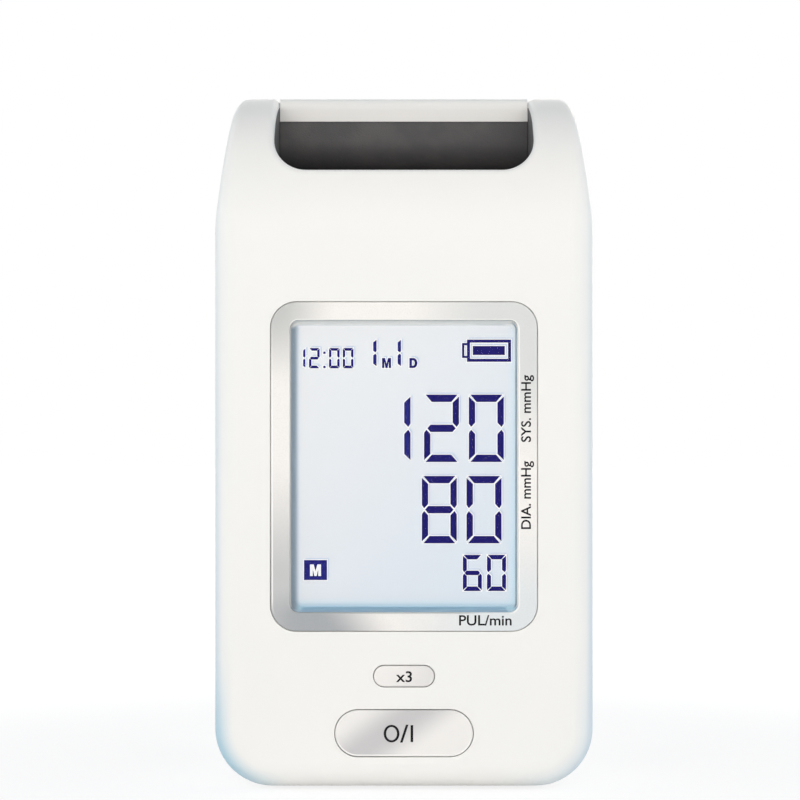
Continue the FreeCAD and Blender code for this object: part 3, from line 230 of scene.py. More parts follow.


# adds the painted blue shade, fading in from the front's rounded rim
def withPaintedEdgeShade(paint, colour):
    low, high = placed("main_housing")
    middleZ, halfZ = (paintedEdgeShade["top"] + low.z) / 2, (paintedEdgeShade["top"] - low.z) / 2
    rim = paint.inside((0.0, middleZ, high.x, halfZ, paintedEdgeShade["cornerR"]))
    front = paint.y.fall(*paintedEdgeShade["frontY"])
    side = paint.x.size().rise(*paintedEdgeShade["sideX"]) * paint.z.fall(*paintedEdgeShade["sideZ"]) * front
    colour = paint.mix(rim.fall(*paintedEdgeShade["sideRim"]) * side * paintedEdgeShade["sideShare"], colour, paintedEdgeShade["pale"])
    for edgeX, corner, shade in ((high.x, paintedEdgeShade["right"], paintedEdgeShade["pale"]),
                                 (low.x, paintedEdgeShade["left"], paintedEdgeShade["blue"])):
        across = (paint.x - edgeX) * corner["squash"]
        near = ((across * across + paint.z * paint.z) ** 0.5).fall(*corner["reach"])
        colour = paint.mix(rim.fall(*corner["rim"]) * near * front * corner["share"], colour, shade)
    return colour


def shellFinish(name):
    # white moulded plastic: faintly clouded, rubbed here and there, scuffed at the foot, and with painted
    # blue shade along its front edges
    paint = Finish(name)
    grain = paint.cloud(shell["grain"], 2)
    clouding = paint.cloud(shell["patch"], 2).rise(*shell["clouding"])
    scuffs = paint.cloud(shell["scuffSize"], 4, shell["scuffStretch"]).rise(*shell["scuffing"])
    scuffs = scuffs * paint.z.fall(*shell["scuffZ"]) * shell["scuffShare"]
    rub = paint.cloud(shell["rubSize"], 5).rise(*shell["rubbing"]) * shell["rubShare"]
    colour = paint.mix(clouding, shell["colour"], shell["cloudy"])
    colour = paint.mix(scuffs, colour, shell["scuffed"])
    return paint.surface({
        "Base Color": withPaintedEdgeShade(paint, colour),
        "Roughness": grain * shell["spread"] + rub + shell["rough"],
        "Specular IOR Level": 0.22,
        "Normal": paint.bump(grain, shell["grainDepth"])})


bezelOutline = frontOutline("display_bezel", 7.4)
mouthOutline = frontOutline("lens_gasket", 2.5, 1.25)
# each painted shade has the X and Z between which it comes or goes
bezel = {"warm": tone(248, 245, 241), "cool": tone(221, 223, 222), "lowCool": tone(228, 233, 235),
         "corner": tone(196, 198, 196), "side": tone(199, 200, 200), "low": tone(166, 170, 174),
         "groove": tone(150, 156, 157), "bright": tone(252, 252, 250),
         "coolX": (-2, 24), "coolZ": (92, 124), "lowCoolX": (-8, 28), "lowCoolZ": (52, 80),
         "cornerAt": (-37, 139), "cornerSquash": 1.35, "cornerReach": (1, 25),
         "sideX": (-30, -22), "sideZ": (60, 97),
         "lowSlope": 0.75, "lowFrom": 49, "lowReach": (-23.6, -2.4), "lowZ": (50, 60),
         "lowX": (-39, -30), "lowShare": 0.5,
         "speck": 0.4, "speckling": (0.42, 0.72), "speckShare": 0.1,
         "flake": 0.22, "flakeDepth": 0.004, "spread": 0.12, "rough": 0.34}
# painted highlight lines and painted shade in the grooves, by their distance from the rim
bezelLines = {"outer": (0.22, 0.36, 0.5, 0.75), "outerX": (0, 20), "outerZ": (50, 56, 100, 137),
              "lowGroove": (0.25, 0.55), "lowGrooveX": (14, 24), "lowGrooveZ": (51, 53),
              "lowGrooveShare": 0.6, "mouth": (0.3, 0.55), "mouthX": (30, 32),
              "topGroove": (0.1, 0.3), "topZ": (133.5, 135)}


def bezelShades(paint):
    # painted shade and painted reflection in slow sweeps across the satin paint
    x, z = paint.x, paint.z
    cool = x.rise(*bezel["coolX"]) * z.rise(*bezel["coolZ"])
    lowCool = x.rise(*bezel["lowCoolX"]) * z.fall(*bezel["lowCoolZ"])
    cornerX, cornerZ = bezel["cornerAt"]
    across, up = (x - cornerX) * bezel["cornerSquash"], z - cornerZ
    topLeft = ((across * across + up * up) ** 0.5).fall(*bezel["cornerReach"])
    side = x.fall(*bezel["sideX"]) * z.fall(*bezel["sideZ"])
    low = (x + (z - bezel["lowFrom"]) * bezel["lowSlope"]).fall(*bezel["lowReach"])
    low = low * z.fall(*bezel["lowZ"])
    low = low * (x.rise(*bezel["lowX"]) * bezel["lowShare"] + (1 - bezel["lowShare"]))
    colour = paint.mix(cool, bezel["warm"], bezel["cool"])
    colour = paint.mix(lowCool, colour, bezel["lowCool"])
    colour = paint.mix(topLeft, colour, bezel["corner"])
    colour = paint.mix(side, colour, bezel["side"])
    return paint.mix(low, colour, bezel["low"])


def silverFinish(name):
    paint = Finish(name)
    x, z, lines = paint.x, paint.z, bezelLines
    flake = paint.cloud(bezel["flake"], 2)
    speckle = paint.cloud(bezel["speck"], 2).rise(*bezel["speckling"]) * bezel["speckShare"]
    colour = paint.mix(speckle, bezelShades(paint), bezel["side"])
    outer = paint.inside(bezelOutline).within(*lines["outer"])
    outer = outer * x.fall(*lines["outerX"]) * z.within(*lines["outerZ"])
    mouth = paint.inside(mouthOutline) * -1
    below = z.fall(*lines["lowGrooveZ"]) * x.fall(*lines["lowGrooveX"]) * lines["lowGrooveShare"]
    above = z.rise(*lines["topZ"])
    aboveOrRight = above | x.rise(*lines["mouthX"])
    # painted highlight along the outer rim and the mouth, and painted shade in the grooves
    colour = paint.mix(outer, colour, bezel["bright"])
    colour = paint.mix(mouth.fall(*lines["lowGroove"]) * below, colour, bezel["groove"])
    colour = paint.mix(mouth.fall(*lines["mouth"]) * aboveOrRight, colour, bezel["bright"])
    colour = paint.mix(mouth.fall(*lines["topGroove"]) * above, colour, bezel["groove"])
    return paint.surface({
        "Base Color": colour,
        "Roughness": flake * bezel["spread"] + bezel["rough"],
        "Specular IOR Level": 0.4,
        "Normal": paint.bump(flake, bezel["flakeDepth"])})


pearl = {"light": tone(243, 241, 238), "band": tone(203, 202, 203), "left": tone(244, 241, 238),
         "right": tone(232, 230, 228), "bright": tone(253, 252, 250),
         "bandAt": (-5.16, 16.9), "bandAim": (0.597, -0.802), "bandReach": (-9.6, -1.0, 0.8, 9.8),
         "rimLine": (0.15, 0.3, 0.45, 0.7), "rimLineZ": (12, 18), "rimCorner": 6.6, "rimInset": 1.7,
         "modeZ": 33.2, "modeSlope": 0.6, "modeReach": (-7, 8),
         "flake": 0.25, "flakeDepth": 0.003, "spread": 0.1, "rough": 0.3}


def lacquer(paint, colour):
    flake = paint.cloud(pearl["flake"], 2)
    return paint.surface({
        "Base Color": colour,
        "Roughness": flake * pearl["spread"] + pearl["rough"],
        "Specular IOR Level": 0.4,
        "Normal": paint.bump(flake, pearl["flakeDepth"])})


def powerPearl(name):
    # pearl lacquer with one soft slanting band of painted reflection, and a painted highlight line along
    # the rim
    paint = Finish(name)
    atX, atZ = pearl["bandAt"]
    aimX, aimZ = pearl["bandAim"]
    across = (paint.x - atX) * aimX + (paint.z - atZ) * aimZ
    rim = paint.inside(frontOutline("power_button", pearl["rimCorner"], pearl["rimInset"]))
    line = rim.within(*pearl["rimLine"]) * paint.z.fall(*pearl["rimLineZ"])
    colour = paint.mix(across.within(*pearl["bandReach"]), pearl["light"], pearl["band"])
    return lacquer(paint, paint.mix(line, colour, pearl["bright"]))


def modePearl(name):
    # pearl lacquer with painted shade, darker towards the right
    paint = Finish(name)
    across = paint.x - (paint.z - pearl["modeZ"]) * pearl["modeSlope"]
    return lacquer(paint, paint.mix(across.rise(*pearl["modeReach"]), pearl["left"], pearl["right"]))


glass = {"pale": tone(235, 239, 243), "cool": tone(221, 231, 242), "slate": tone(134, 153, 170),
         "slateLow": tone(172, 211, 231), "bright": tone(252, 255, 255),
         "haze": tone(196, 217, 234), "edge": tone(112, 150, 176), "sky": tone(204, 231, 245),
         "line": tone(212, 214, 213), "lineRight": tone(246, 243, 240),
         "glow": 0.1, "fine": 0.3, "fineDepth": 0.002, "spread": 0.1, "rough": 0.4}
# painted shade of its deep frame and painted highlight lines: distances from the rim, and the X and Z where
# each lies
depth = {"coolAim": (0.6, -0.5), "coolFromZ": 93, "coolReach": (-30, 38),
         "skyShift": (-1.1, 1.7), "skyRim": (-1.0, 2.8), "skyZ": (60, 180),
         "deepShift": (1.15, 0.9), "hazeRim": (-0.2, 2.6), "hazeShare": 0.75,
         "slateRim": (-0.1, 1.75), "slateLowX": (-32, -29.5), "slateLowZ": (52.5, 54.5),
         "lowRim": (0.3, 0.9), "lowZ": (51.8, 52.4), "lowShare": 0.5,
         "topRim": (0.3, 2.2), "topZ": (132.5, 134), "uprightZ": (52.2, 53.4, 133.6, 134.8),
         "sideX": (29, 31), "edgeRim": (0.55, 0.9), "lineRim": (0.2, 0.45), "lineX": (-5, 5)}


def glassShade(paint):
    # the pale cell, with painted blue shade from its deep frame, thickest at the left and below, and
    # painted highlight lines along its rim
    x, z = paint.x, paint.z
    rim = paint.inside(mouthOutline)
    soft = paint.inside(mouthOutline, *depth["skyShift"])
    deep = paint.inside(mouthOutline, *depth["deepShift"])
    aimX, aimZ = depth["coolAim"]
    cool = (x * aimX + (z - depth["coolFromZ"]) * aimZ).rise(*depth["coolReach"])
    sky = soft.fall(*depth["skyRim"]) * z.fall(*depth["skyZ"])
    slateLow = z.fall(*depth["slateLowZ"]) * x.rise(*depth["slateLowX"])
    slate = paint.mix(slateLow, glass["slate"], glass["slateLow"])
    lowRim = rim.fall(*depth["lowRim"]) * z.fall(*depth["lowZ"]) * depth["lowShare"]
    topRim = rim.fall(*depth["topRim"]) * z.rise(*depth["topZ"])
    upright = z.within(*depth["uprightZ"])
    edge = rim.fall(*depth["edgeRim"]) * x.rise(*depth["sideX"]) * upright
    line = rim.fall(*depth["lineRim"]) * x.size().rise(*depth["sideX"]) * upright
    colour = paint.mix(cool, glass["pale"], glass["cool"])
    colour = paint.mix(sky, colour, glass["sky"])
    colour = paint.mix(deep.fall(*depth["hazeRim"]) * depth["hazeShare"], colour, glass["haze"])
    colour = paint.mix(deep.fall(*depth["slateRim"]), colour, slate)
    colour = paint.mix(lowRim, colour, glass["haze"])
    colour = paint.mix(topRim, colour, glass["bright"])
    colour = paint.mix(edge, colour, glass["edge"])
    lineTone = paint.mix(x.rise(*depth["lineX"]), glass["line"], glass["lineRight"])
    return paint.mix(line, colour, lineTone)


def cellFinish(name):
    paint = Finish(name)
    fine = paint.cloud(glass["fine"], 2)
    shade = glassShade(paint)
    return paint.surface({
        "Base Color": shade,
        "Roughness": fine * glass["spread"] + glass["rough"],
        # painted glow: the cell gives off a little light in its own colours
        "Emission Color": shade,
        "Emission Strength": glass["glow"],
        "Normal": paint.bump(fine, glass["fineDepth"])})


acrylic = {"colour": tone(60, 66, 70), "wipe": 6, "wipeStretch": (1, 1, 0.3), "spread": 0.05,
           "rough": 0.03, "slantPower": 3, "slantAlpha": 0.7, "leastAlpha": 0.012}


def clearFinish(name):
    # almost nothing but its gloss, stronger at a slant
    paint = Finish(name)
    wipe = paint.cloud(acrylic["wipe"], 4, acrylic["wipeStretch"])
    slant = paint.add("ShaderNodeLayerWeight", None, {"Blend": 0.5}).out("Facing")
    veil = slant ** acrylic["slantPower"] * acrylic["slantAlpha"] + acrylic["leastAlpha"]
    return paint.surface({
        "Base Color": acrylic["colour"],
        "Roughness": wipe * acrylic["spread"] + acrylic["rough"],
        "Alpha": veil,
        "IOR": 1.49})


soft = {"well": (tone(92, 92, 94), tone(98, 97, 98)), "grip": (tone(74, 74, 76), tone(82, 81, 82)),
        "pebble": 0.55, "pebbling": (0.0, 0.6), "depth": 0.035, "patch": 11, "wear": (0.42, 0.68),
        "polish": -0.18, "fine": 0.3, "fineBump": 0.3, "spread": 0.1, "rough": 0.66}


def softTouchFinish(name, colour, worn):
    # pebbled rubbery lining, a little polished where hands go
    paint = Finish(name)
    pebbles = paint.cells(soft["pebble"]).rise(*soft["pebbling"])
    patch = paint.cloud(soft["patch"], 4)
    fine = paint.cloud(soft["fine"], 2)
    return paint.surface({
        "Base Color": paint.mix(patch.rise(*soft["wear"]), colour, worn),
        "Roughness": patch * soft["polish"] + fine * soft["spread"] + soft["rough"],
        "Normal": paint.bump(pebbles + fine * soft["fineBump"], soft["depth"])})


cloth = {"colour": tone(112, 131, 154), "dark": tone(80, 98, 122), "fuzzy": tone(140, 157, 176),
         "wale": 0.9, "course": 0.75, "lean": 2.4, "waleShare": 0.6, "knitting": (0.1, 0.9),
         "fuzz": 0.35, "fuzzing": (0.5, 0.8), "fuzzShare": 0.45, "fuzzBump": 0.5,
         "patch": 14, "patching": (0.4, 0.75), "patchShare": 0.25,
         "depth": 0.12, "spread": 0.1, "rough": 0.82, "sheen": 0.35, "sheenRough": 0.4}


def clothFinish(name, shift=0.0):
    # knitted cloth on the round of the tunnel: wales run along X
    paint = Finish(name)
    turn = paint.add("ShaderNodeMath", {"operation": "ARCTAN2"},
                     {0: paint.z - tunnel["z"], 1: paint.y - tunnel["y"]})
    arc = turn * tunnel["boreR"]
    wale = (arc * (2 * pi / cloth["wale"])).sine() * 0.5 + 0.5
    lean = (paint.x * (2 * pi / cloth["course"]) + wale * cloth["lean"]).sine() * 0.5 + 0.5
    knit = wale * cloth["waleShare"] + lean * (1 - cloth["waleShare"])
    fuzz = paint.cloud(cloth["fuzz"], 4)
    patches = paint.cloud(cloth["patch"]).rise(*cloth["patching"]) * cloth["patchShare"] + shift
    colour = paint.mix(knit.rise(*cloth["knitting"]), cloth["dark"], cloth["colour"])
    colour = paint.mix(fuzz.rise(*cloth["fuzzing"]) * cloth["fuzzShare"], colour, cloth["fuzzy"])
    return paint.surface({
        "Base Color": paint.mix(patches, colour, cloth["dark"]),
        "Roughness": fuzz * cloth["spread"] + cloth["rough"],
        "Sheen Weight": cloth["sheen"],
        "Sheen Roughness": cloth["sheenRough"],
        "Normal": paint.bump(knit + fuzz * cloth["fuzzBump"], cloth["depth"])})


board = {"mask": (tone(24, 98, 60), tone(18, 82, 52)), "tracks": tone(60, 138, 82),
         "pads": tone(206, 196, 168), "patch": 16, "patching": (0.4, 0.7), "trackShift": 0.37,
         "trackScale": 0.12, "trackWide": 0.03, "trackSoft": 0.3, "trackShare": 0.7,
         "padPitch": 5.5, "padReach": (0.12, 0.18), "padMetal": 0.7,
         "spread": 0.15, "rough": 0.3, "depth": 0.03}


def boardFinish(name):
    # green solder mask over copper tracks
    paint = Finish(name)
    flat = paint.add("ShaderNodeCombineXYZ", None, {0: paint.x, 1: paint.z})
    tracks = paint.add("ShaderNodeTexBrick", {"offset": board["trackShift"]}, {
        "Vector": flat, "Scale": board["trackScale"], "Mortar Size": board["trackWide"],
        "Mortar Smooth": board["trackSoft"]}).out("Fac")
    pads = paint.cells(board["padPitch"]).fall(*board["padReach"])
    patch = paint.cloud(board["patch"])
    colour = paint.mix(patch.rise(*board["patching"]), *board["mask"])
    colour = paint.mix(tracks * board["trackShare"], colour, board["tracks"])
    return paint.surface({
        "Base Color": paint.mix(pads, colour, board["pads"]),
        "Roughness": patch * board["spread"] + board["rough"],
        "Metallic": pads * board["padMetal"],
        "Normal": paint.bump(tracks | pads, board["depth"])})


cell = {"sleeve": tone(46, 50, 58), "shoulder": tone(190, 124, 70), "bare": tone(196, 198, 200),
        "shoulderZ": (46.6, 46.8), "topZ": (57.0, 57.1), "baseZ": (6.0, 6.1),
        "scratch": 1.4, "stretch": (1, 1, 0.15), "spread": 0.2, "rough": 0.25, "depth": 0.01}


def cellLabelFinish(name):
    # dark sleeve, a metallic shoulder band and bare ends
    paint = Finish(name)
    band = paint.z.rise(*cell["shoulderZ"])
    bare = paint.z.rise(*cell["topZ"]) | paint.z.fall(*cell["baseZ"])
    scratch = paint.cloud(cell["scratch"], 4, cell["stretch"])
    colour = paint.mix(band, cell["sleeve"], cell["shoulder"])
    return paint.surface({
        "Base Color": paint.mix(bare, colour, cell["bare"]),
        "Roughness": scratch * cell["spread"] + cell["rough"],
        "Metallic": band | bare,
        "Normal": paint.bump(scratch, cell["depth"])})


ink = {"patch": 1.5, "patching": (0.4, 0.7), "spread": 0.1, "rough": 0.5}


def inkFinish(name, colour, shade, gloss=0.1, glow=0.0):
    paint = Finish(name)
    patch = paint.cloud(ink["patch"])
    blot = paint.mix(patch.rise(*ink["patching"]), colour, shade)
    return paint.surface({
        "Base Color": blot,
        "Roughness": patch * ink["spread"] + ink["rough"],
        "Specular IOR Level": gloss,
        "Emission Color": blot,
        "Emission Strength": glow})


looks = {
    "ring_grey": {"colour": tone(205, 210, 214), "shade": tone(201, 206, 211), "rough": 0.36, "patch": 30},
    "liner_plastic": {"colour": tone(226, 228, 228), "shade": tone(214, 217, 218), "rough": 0.45},
    "bladder_rubber": {"colour": tone(92, 96, 104), "shade": tone(78, 82, 92), "rough": 0.6, "depth": 0.06},
    "backlight": {"colour": tone(244, 246, 246), "shade": tone(234, 238, 240), "rough": 0.4},
    "chip_black": {"colour": tone(38, 38, 40), "shade": tone(50, 50, 53), "rough": 0.45},
    "inner_plastic": {"colour": tone(222, 222, 216), "shade": tone(208, 208, 202), "rough": 0.5},
    "silicone": {"colour": tone(206, 212, 214), "shade": tone(190, 198, 202), "rough": 0.5, "depth": 0.03,
                 "more": {"Subsurface Weight": 0.15, "Subsurface Scale": 0.001}},
    "rubber_dark": {"colour": tone(60, 61, 63), "shade": tone(76, 76, 78), "rough": 0.7, "depth": 0.06},
    "steel": {"colour": tone(198, 200, 203), "shade": tone(176, 179, 183), "rough": 0.24, "metal": 1.0,
              "grain": 0.35, "stretch": (0.2, 1, 1), "depth": 0.01},
    "copper_wire": {"colour": tone(184, 104, 62), "shade": tone(150, 78, 44), "rough": 0.3, "metal": 1.0,
                    "grain": 0.3, "stretch": (1, 0.1, 1), "depth": 0.08},
    "contact_nickel": {"colour": tone(208, 204, 192), "shade": tone(186, 182, 170), "rough": 0.22,
                       "metal": 1.0}}
finishes = {name: moulded(name, look) for name, look in looks.items()}
finishes.update({
    "shell_white": shellFinish("shell_white"),
    "trim_silver": silverFinish("trim_silver"),
    "lens_clear": clearFinish("lens_clear"),
    "gasket_blue": cellFinish("gasket_blue"),
    "lcd_panel": cellFinish("lcd_panel"),
    "handle_dark": softTouchFinish("handle_dark", *soft["well"]),
    "grip_dark": softTouchFinish("grip_dark", *soft["grip"]),
    "cuff_fabric": clothFinish("cuff_fabric"),
    "board_green": boardFinish("board_green"),
    "cell_label": cellLabelFinish("cell_label"),
    "button_pearl": powerPearl("button_pearl")})
blackInk = inkFinish("blackInk", tone(30, 28, 32), tone(38, 36, 40), 0.05)
slots = {}
for row in frame["record"]["materials"]:
    for name in row.get("nodes", []):
        slots[name] = row["slot"]
for name, node in nodes.items():
    packed = node.data.materials[0].name.split(".")[0]
    node.data.materials[0] = finishes[slots.get(name, packed)]
nodes["mode_button"].data.materials[0] = modePearl("mode_pearl")
print("finishes: %d" % len(bpy.data.materials))


def newPiece(name, points, faces, finish, body, slot):
    # points in millimetres
    mesh = bpy.data.meshes.new(name)
    mesh.from_pydata([Vector(p) * mm for p in points], [], faces)
    mesh.validate()
    return dress(name, mesh, finish, body)


def dress(name, mesh, finish, body):
    mesh.name = name
    piece = bpy.data.objects.new(name, mesh)
    scene.collection.objects.link(piece)
    mesh.materials.clear()
    mesh.materials.append(finish)
    if body:
        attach(piece, body)
    return piece


def smooth(piece):
    for face in piece.data.polygons:
        face.use_smooth = True


def band(rows, ring, closed=False, start=0):
    # quads between rows of points; a closed band joins its last row to its first
    faces = []
    for row in range(rows if closed else rows - 1):
        here, beyond = start + row * ring, start + (row + 1) % rows * ring
        for k in range(ring):
            j = (k + 1) % ring
            faces.append([here + k, here + j, beyond + j, beyond + k])
    return faces


def caps(rows, ring, start=0):
    # the two ends of an open band
    last = start + (rows - 1) * ring
    return [[start + k for k in reversed(range(ring))], [last + k for k in range(ring)]]


def prisms(outlines, front, back):
    # flat plates facing -Y, each from an outline of x and z points that runs anticlockwise
    points, faces = [], []
    for outline in outlines:
        start, count = len(points), len(outline)
        points += [(x, front, z) for x, z in outline] + [(x, back, z) for x, z in outline]
        faces.append([start + i for i in range(count)])
        faces.append([start + count + i for i in reversed(range(count))])
        for i in range(count):
            j = (i + 1) % count
            faces.append([start + j, start + i, start + count + i, start + count + j])
    return points, faces


def grown(outline, by):
    # the outline with each side moved outwards by that much
    result = []
    count = len(outline)
    bluntest = 0.45
    for i in range(count):
        before, here, after = (Vector(outline[(i + k) % count]) for k in (-1, 0, 1))
        into, away = (here - before).normalized(), (after - here).normalized()
        sideIn, sideOut = Vector((into.y, -into.x)), Vector((away.y, -away.x))
        corner = sideIn + sideOut
        corner = corner / max(corner.dot(sideIn), bluntest)
        result.append(tuple(here + corner * by))
    return result


def shifted(outlines, x, z):
    return [[(px + x, pz + z) for px, pz in outline] for outline in outlines]


def block(x0, x1, z0, z1):
    return [(x0, z0), (x1, z0), (x1, z1), (x0, z1)]


def hollow(x0, x1, z0, z1, rim):
    return [block(x0, x1, z0, z0 + rim), block(x0, x1, z1 - rim, z1),
            block(x0, x0 + rim, z0 + rim, z1 - rim), block(x1 - rim, x1, z0 + rim, z1 - rim)]


def fitted(outlines, x0, x1, z0, z1):
    return [[(x0 + (x1 - x0) * x, z0 + (z1 - z0) * z) for x, z in outline]
            for outline in outlines]


# a figure's segments, as shares of its height or width
segment = {"bar": 0.105, "post": 0.175, "gap": 0.0215, "mitre": 0.86, "weight": 1.04,
           "postFoot": 0.07, "postHead": 0.028, "innerHead": 0.12, "innerFoot": 0.085,
           "tip": 0.36, "tipRise": 0.02, "middleTip": 0.095, "middleShoulder": 0.186}
strokes = {"0": "abcdef", "1": "bc", "2": "abged", "6": "afgedc", "8": "abcdefg"}


def digit(figure, left, low, width, height, weight=segment["weight"]):
    # seven segments with mitred ends, as outlines
    bar, post = segment["bar"] * height * weight, segment["post"] * width * weight
    gap = segment["gap"] * height
    mitre = gap + bar * segment["mitre"]
    mid = height / 2
    tip, shoulder = segment["middleTip"] * width, segment["middleShoulder"] * width
    across = [(gap, height), (mitre, height - bar), (width - mitre, height - bar),
              (width - gap, height)]
    upright = [(width, mid + segment["postFoot"] * height),
               (width, height - segment["postHead"] * height),
               (width - post, height - segment["innerHead"] * height),
               (width - post, mid + segment["innerFoot"] * height),
               (width - segment["tip"] * post, mid + segment["tipRise"] * height)]
    middle = [(tip, mid), (shoulder, mid - bar / 2), (width - shoulder, mid - bar / 2),
              (width - tip, mid), (width - shoulder, mid + bar / 2), (shoulder, mid + bar / 2)]
    flipX = lambda shape: [(width - x, z) for x, z in reversed(shape)]
    flipZ = lambda shape: [(x, height - z) for x, z in reversed(shape)]
    shapes = {"a": across, "b": upright, "c": flipZ(upright), "d": flipZ(across),
              "e": flipX(flipZ(upright)), "f": flipX(upright), "g": middle}
    return shifted([shapes[s] for s in strokes[figure]], left, low)


def boldM(x0, x1, z0, z1):
    # two posts and a deep notch between them, drawn in a unit square
    posts = [block(0, 0.25, 0, 1), block(0.75, 1, 0, 1)]
    arms = [[(0.25, 0.62), (0.39, 0.0), (0.5, 0.0), (0.5, 0.42), (0.33, 1), (0.25, 1)],
            [(0.5, 0.0), (0.61, 0.0), (0.75, 0.62), (0.75, 1), (0.67, 1), (0.5, 0.42)]]
    return fitted(posts + arms, x0, x1, z0, z1)


letterD = {"postWide": 0.31, "outer": (0.48, 0.52, 0.5), "inner": (0.46, 0.2, 0.27), "step": 20}


def boldD(x0, x1, z0, z1):
    # a post and a bow in short straight lengths, drawn in a unit square
    def bow(x, wide, tall):
        turns = [radians(a) for a in range(0, 181, letterD["step"])]
        return [(x + wide * sin(turn), 0.5 - tall * cos(turn)) for turn in turns]
    outer, inner = bow(*letterD["outer"]), bow(*letterD["inner"])
    post = letterD["postWide"]
    rim = [[outer[i], outer[i + 1], inner[i + 1], inner[i]] for i in range(len(outer) - 1)]
    low = [(post, 0), outer[0], inner[0], (post, inner[0][1])]
    high = [(post, inner[-1][1]), inner[-1], outer[-1], (post, 1)]
    return fitted([block(0, post, 0, 1), low, high] + rim, x0, x1, z0, z1)


# in millimetres; a block is x0, x1, z0, z1
lcd = {"ink": tone(26, 19, 110), "inkShade": tone(30, 24, 116), "blue": tone(38, 40, 134),
       "halo": 0.24, "haloTone": tone(252, 253, 254), "haloGlow": 0.16,
       "shadow": 0.62, "shadowTone": tone(196, 211, 231), "farShadowTone": tone(211, 223, 238)}
rows = [  # figures with their left edges
    {"low": 94.47, "size": (10.06, 19.38), "figures": [("2", 5.76), ("0", 18.64)]},
    {"low": 71.09, "size": (10.06, 19.38), "figures": [("8", 5.12), ("0", 17.98)]},
    {"low": 57.37, "size": (5.46, 10.41), "figures": [("6", 16.92), ("0", 23.88)], "weight": 1.2},
    {"low": 121.42, "size": (3.05, 5.84), "weight": 1.28,
     "figures": [("2", -27.32), ("0", -21.57), ("0", -17.6)]}]
ones = [  # right edge, low, width of the full figure, height
    (1.87, 94.47, 10.06, 19.38), (-28.36, 121.42, 3.6, 5.84),
    (-7.9, 121.79, 5.3, 8.05), (-0.86, 121.79, 5.3, 8.05)]
signs = {"colon": [(-23.2, -22.55, 125.57, 126.22), (-23.2, -22.55, 121.47, 122.12)],
         "battery": (18.12, 30.78, 123.29, 129.67), "rim": 0.86,
         "nubs": [(16.69, 17.33, 124.38, 128.69), (17.33, 18.12, 124.38, 125.0),
                  (17.33, 18.12, 128.05, 128.69)],
         "charge": (19.79, 28.99, 125.24, 127.83),
         "month": (-6.32, -3.73, 121.5, 124.38), "day": (1.56, 3.86, 121.5, 124.38),
         "memory": (-28.76, -22.14, 60.53, 66.28), "memoryLetter": (-27.03, -23.87, 61.68, 65.02),
         "letterFront": 0.12, "letterBack": 0.08}
inked, bluer = [], []
for row in rows:
    for figure, left in row["figures"]:
        inked += digit(figure, left, row["low"], *row["size"], row.get("weight", segment["weight"]))
for right, low, width, height in ones:
    bluer += digit("1", right - width, low, width, height)
inked += [block(*dot) for dot in signs["colon"]]
inked += hollow(*signs["battery"], signs["rim"])
inked += [block(*nub) for nub in signs["nubs"]] + [block(*signs["charge"])]
inked += boldM(*signs["month"]) + boldD(*signs["day"])
blues = bluer + [block(*signs["memory"])]
allMarks = inked + blues


# painted shadow plates offset behind the segments, and a pale painted halo round them; these layers and the
# letter M carry a painted glow
halfway = lcd["shadow"] / 2
layers = [  # name, outlines, how far proud of the cell, colour, shade and glow
    ("lcdFarShadow", shifted(allMarks, lcd["shadow"], lcd["shadow"]), 0.02,
     "farShadowTone", "farShadowTone", glass["glow"]),
    ("lcdShadow", shifted(allMarks, halfway, halfway), 0.04,
     "shadowTone", "farShadowTone", glass["glow"]),
    ("lcdHalo", [grown(outline, lcd["halo"]) for outline in allMarks], 0.06,
     "haloTone", "haloTone", lcd["haloGlow"]),
    ("lcdSegments", inked, 0.1, "ink", "inkShade", 0.0),
    ("lcdBlueSegments", blues, 0.09, "blue", "inkShade", 0.0)]
for name, outlines, proud, colour, shade, glow in layers:
    finish = inkFinish(name, lcd[colour], lcd[shade], glow=glow)
    newPiece(name, *prisms(outlines, glassY - proud, glassY), finish, "housing", "lcd_panel")
memoryLetter = prisms(boldM(*signs["memoryLetter"]), glassY - signs["letterFront"],
                      glassY - signs["letterBack"])
newPiece("memoryLetter", *memoryLetter, bpy.data.materials["lcdHalo"], "housing", "lcd_panel")
print("display marks: %d segments" % (len(inked) + len(bluer)))


lettering = {"bold": 0.014, "thick": 0.01, "curveSteps": 5, "weld": 1e-5}
labels = {"sysLabel": ("SYS. mmHg", (33.52, 37.24, 100.27, 119.46), True),
          "diaLabel": ("DIA. mmHg", (33.52, 37.24, 75.35, 94.83), True),
          "pulseLabel": ("PUL/min", (15.76, 30.82, 47.7, 50.71), False)}


def wordMesh(name, words, upright):
    # raised letters, one unit deep; upright words read from below
    curve = bpy.data.curves.new(name, "FONT")
    curve.body = words
    curve.extrude = 0.5
    curve.offset = lettering["bold"]
    curve.resolution_u = lettering["curveSteps"]
    holder = bpy.data.objects.new(name, curve)
    scene.collection.objects.link(holder)
    bpy.context.view_layer.update()
    shape = holder.evaluated_get(bpy.context.evaluated_depsgraph_get())
    mesh = bpy.data.meshes.new_from_object(shape)
    bpy.data.objects.remove(holder)
    joiner = bmesh.new()
    joiner.from_mesh(mesh)
    bmesh.ops.remove_doubles(joiner, verts=joiner.verts, dist=lettering["weld"])
    joiner.to_mesh(mesh)
    joiner.free()
    if upright:
        mesh.transform(Matrix.Rotation(radians(90), 4, "Z"))
    return mesh


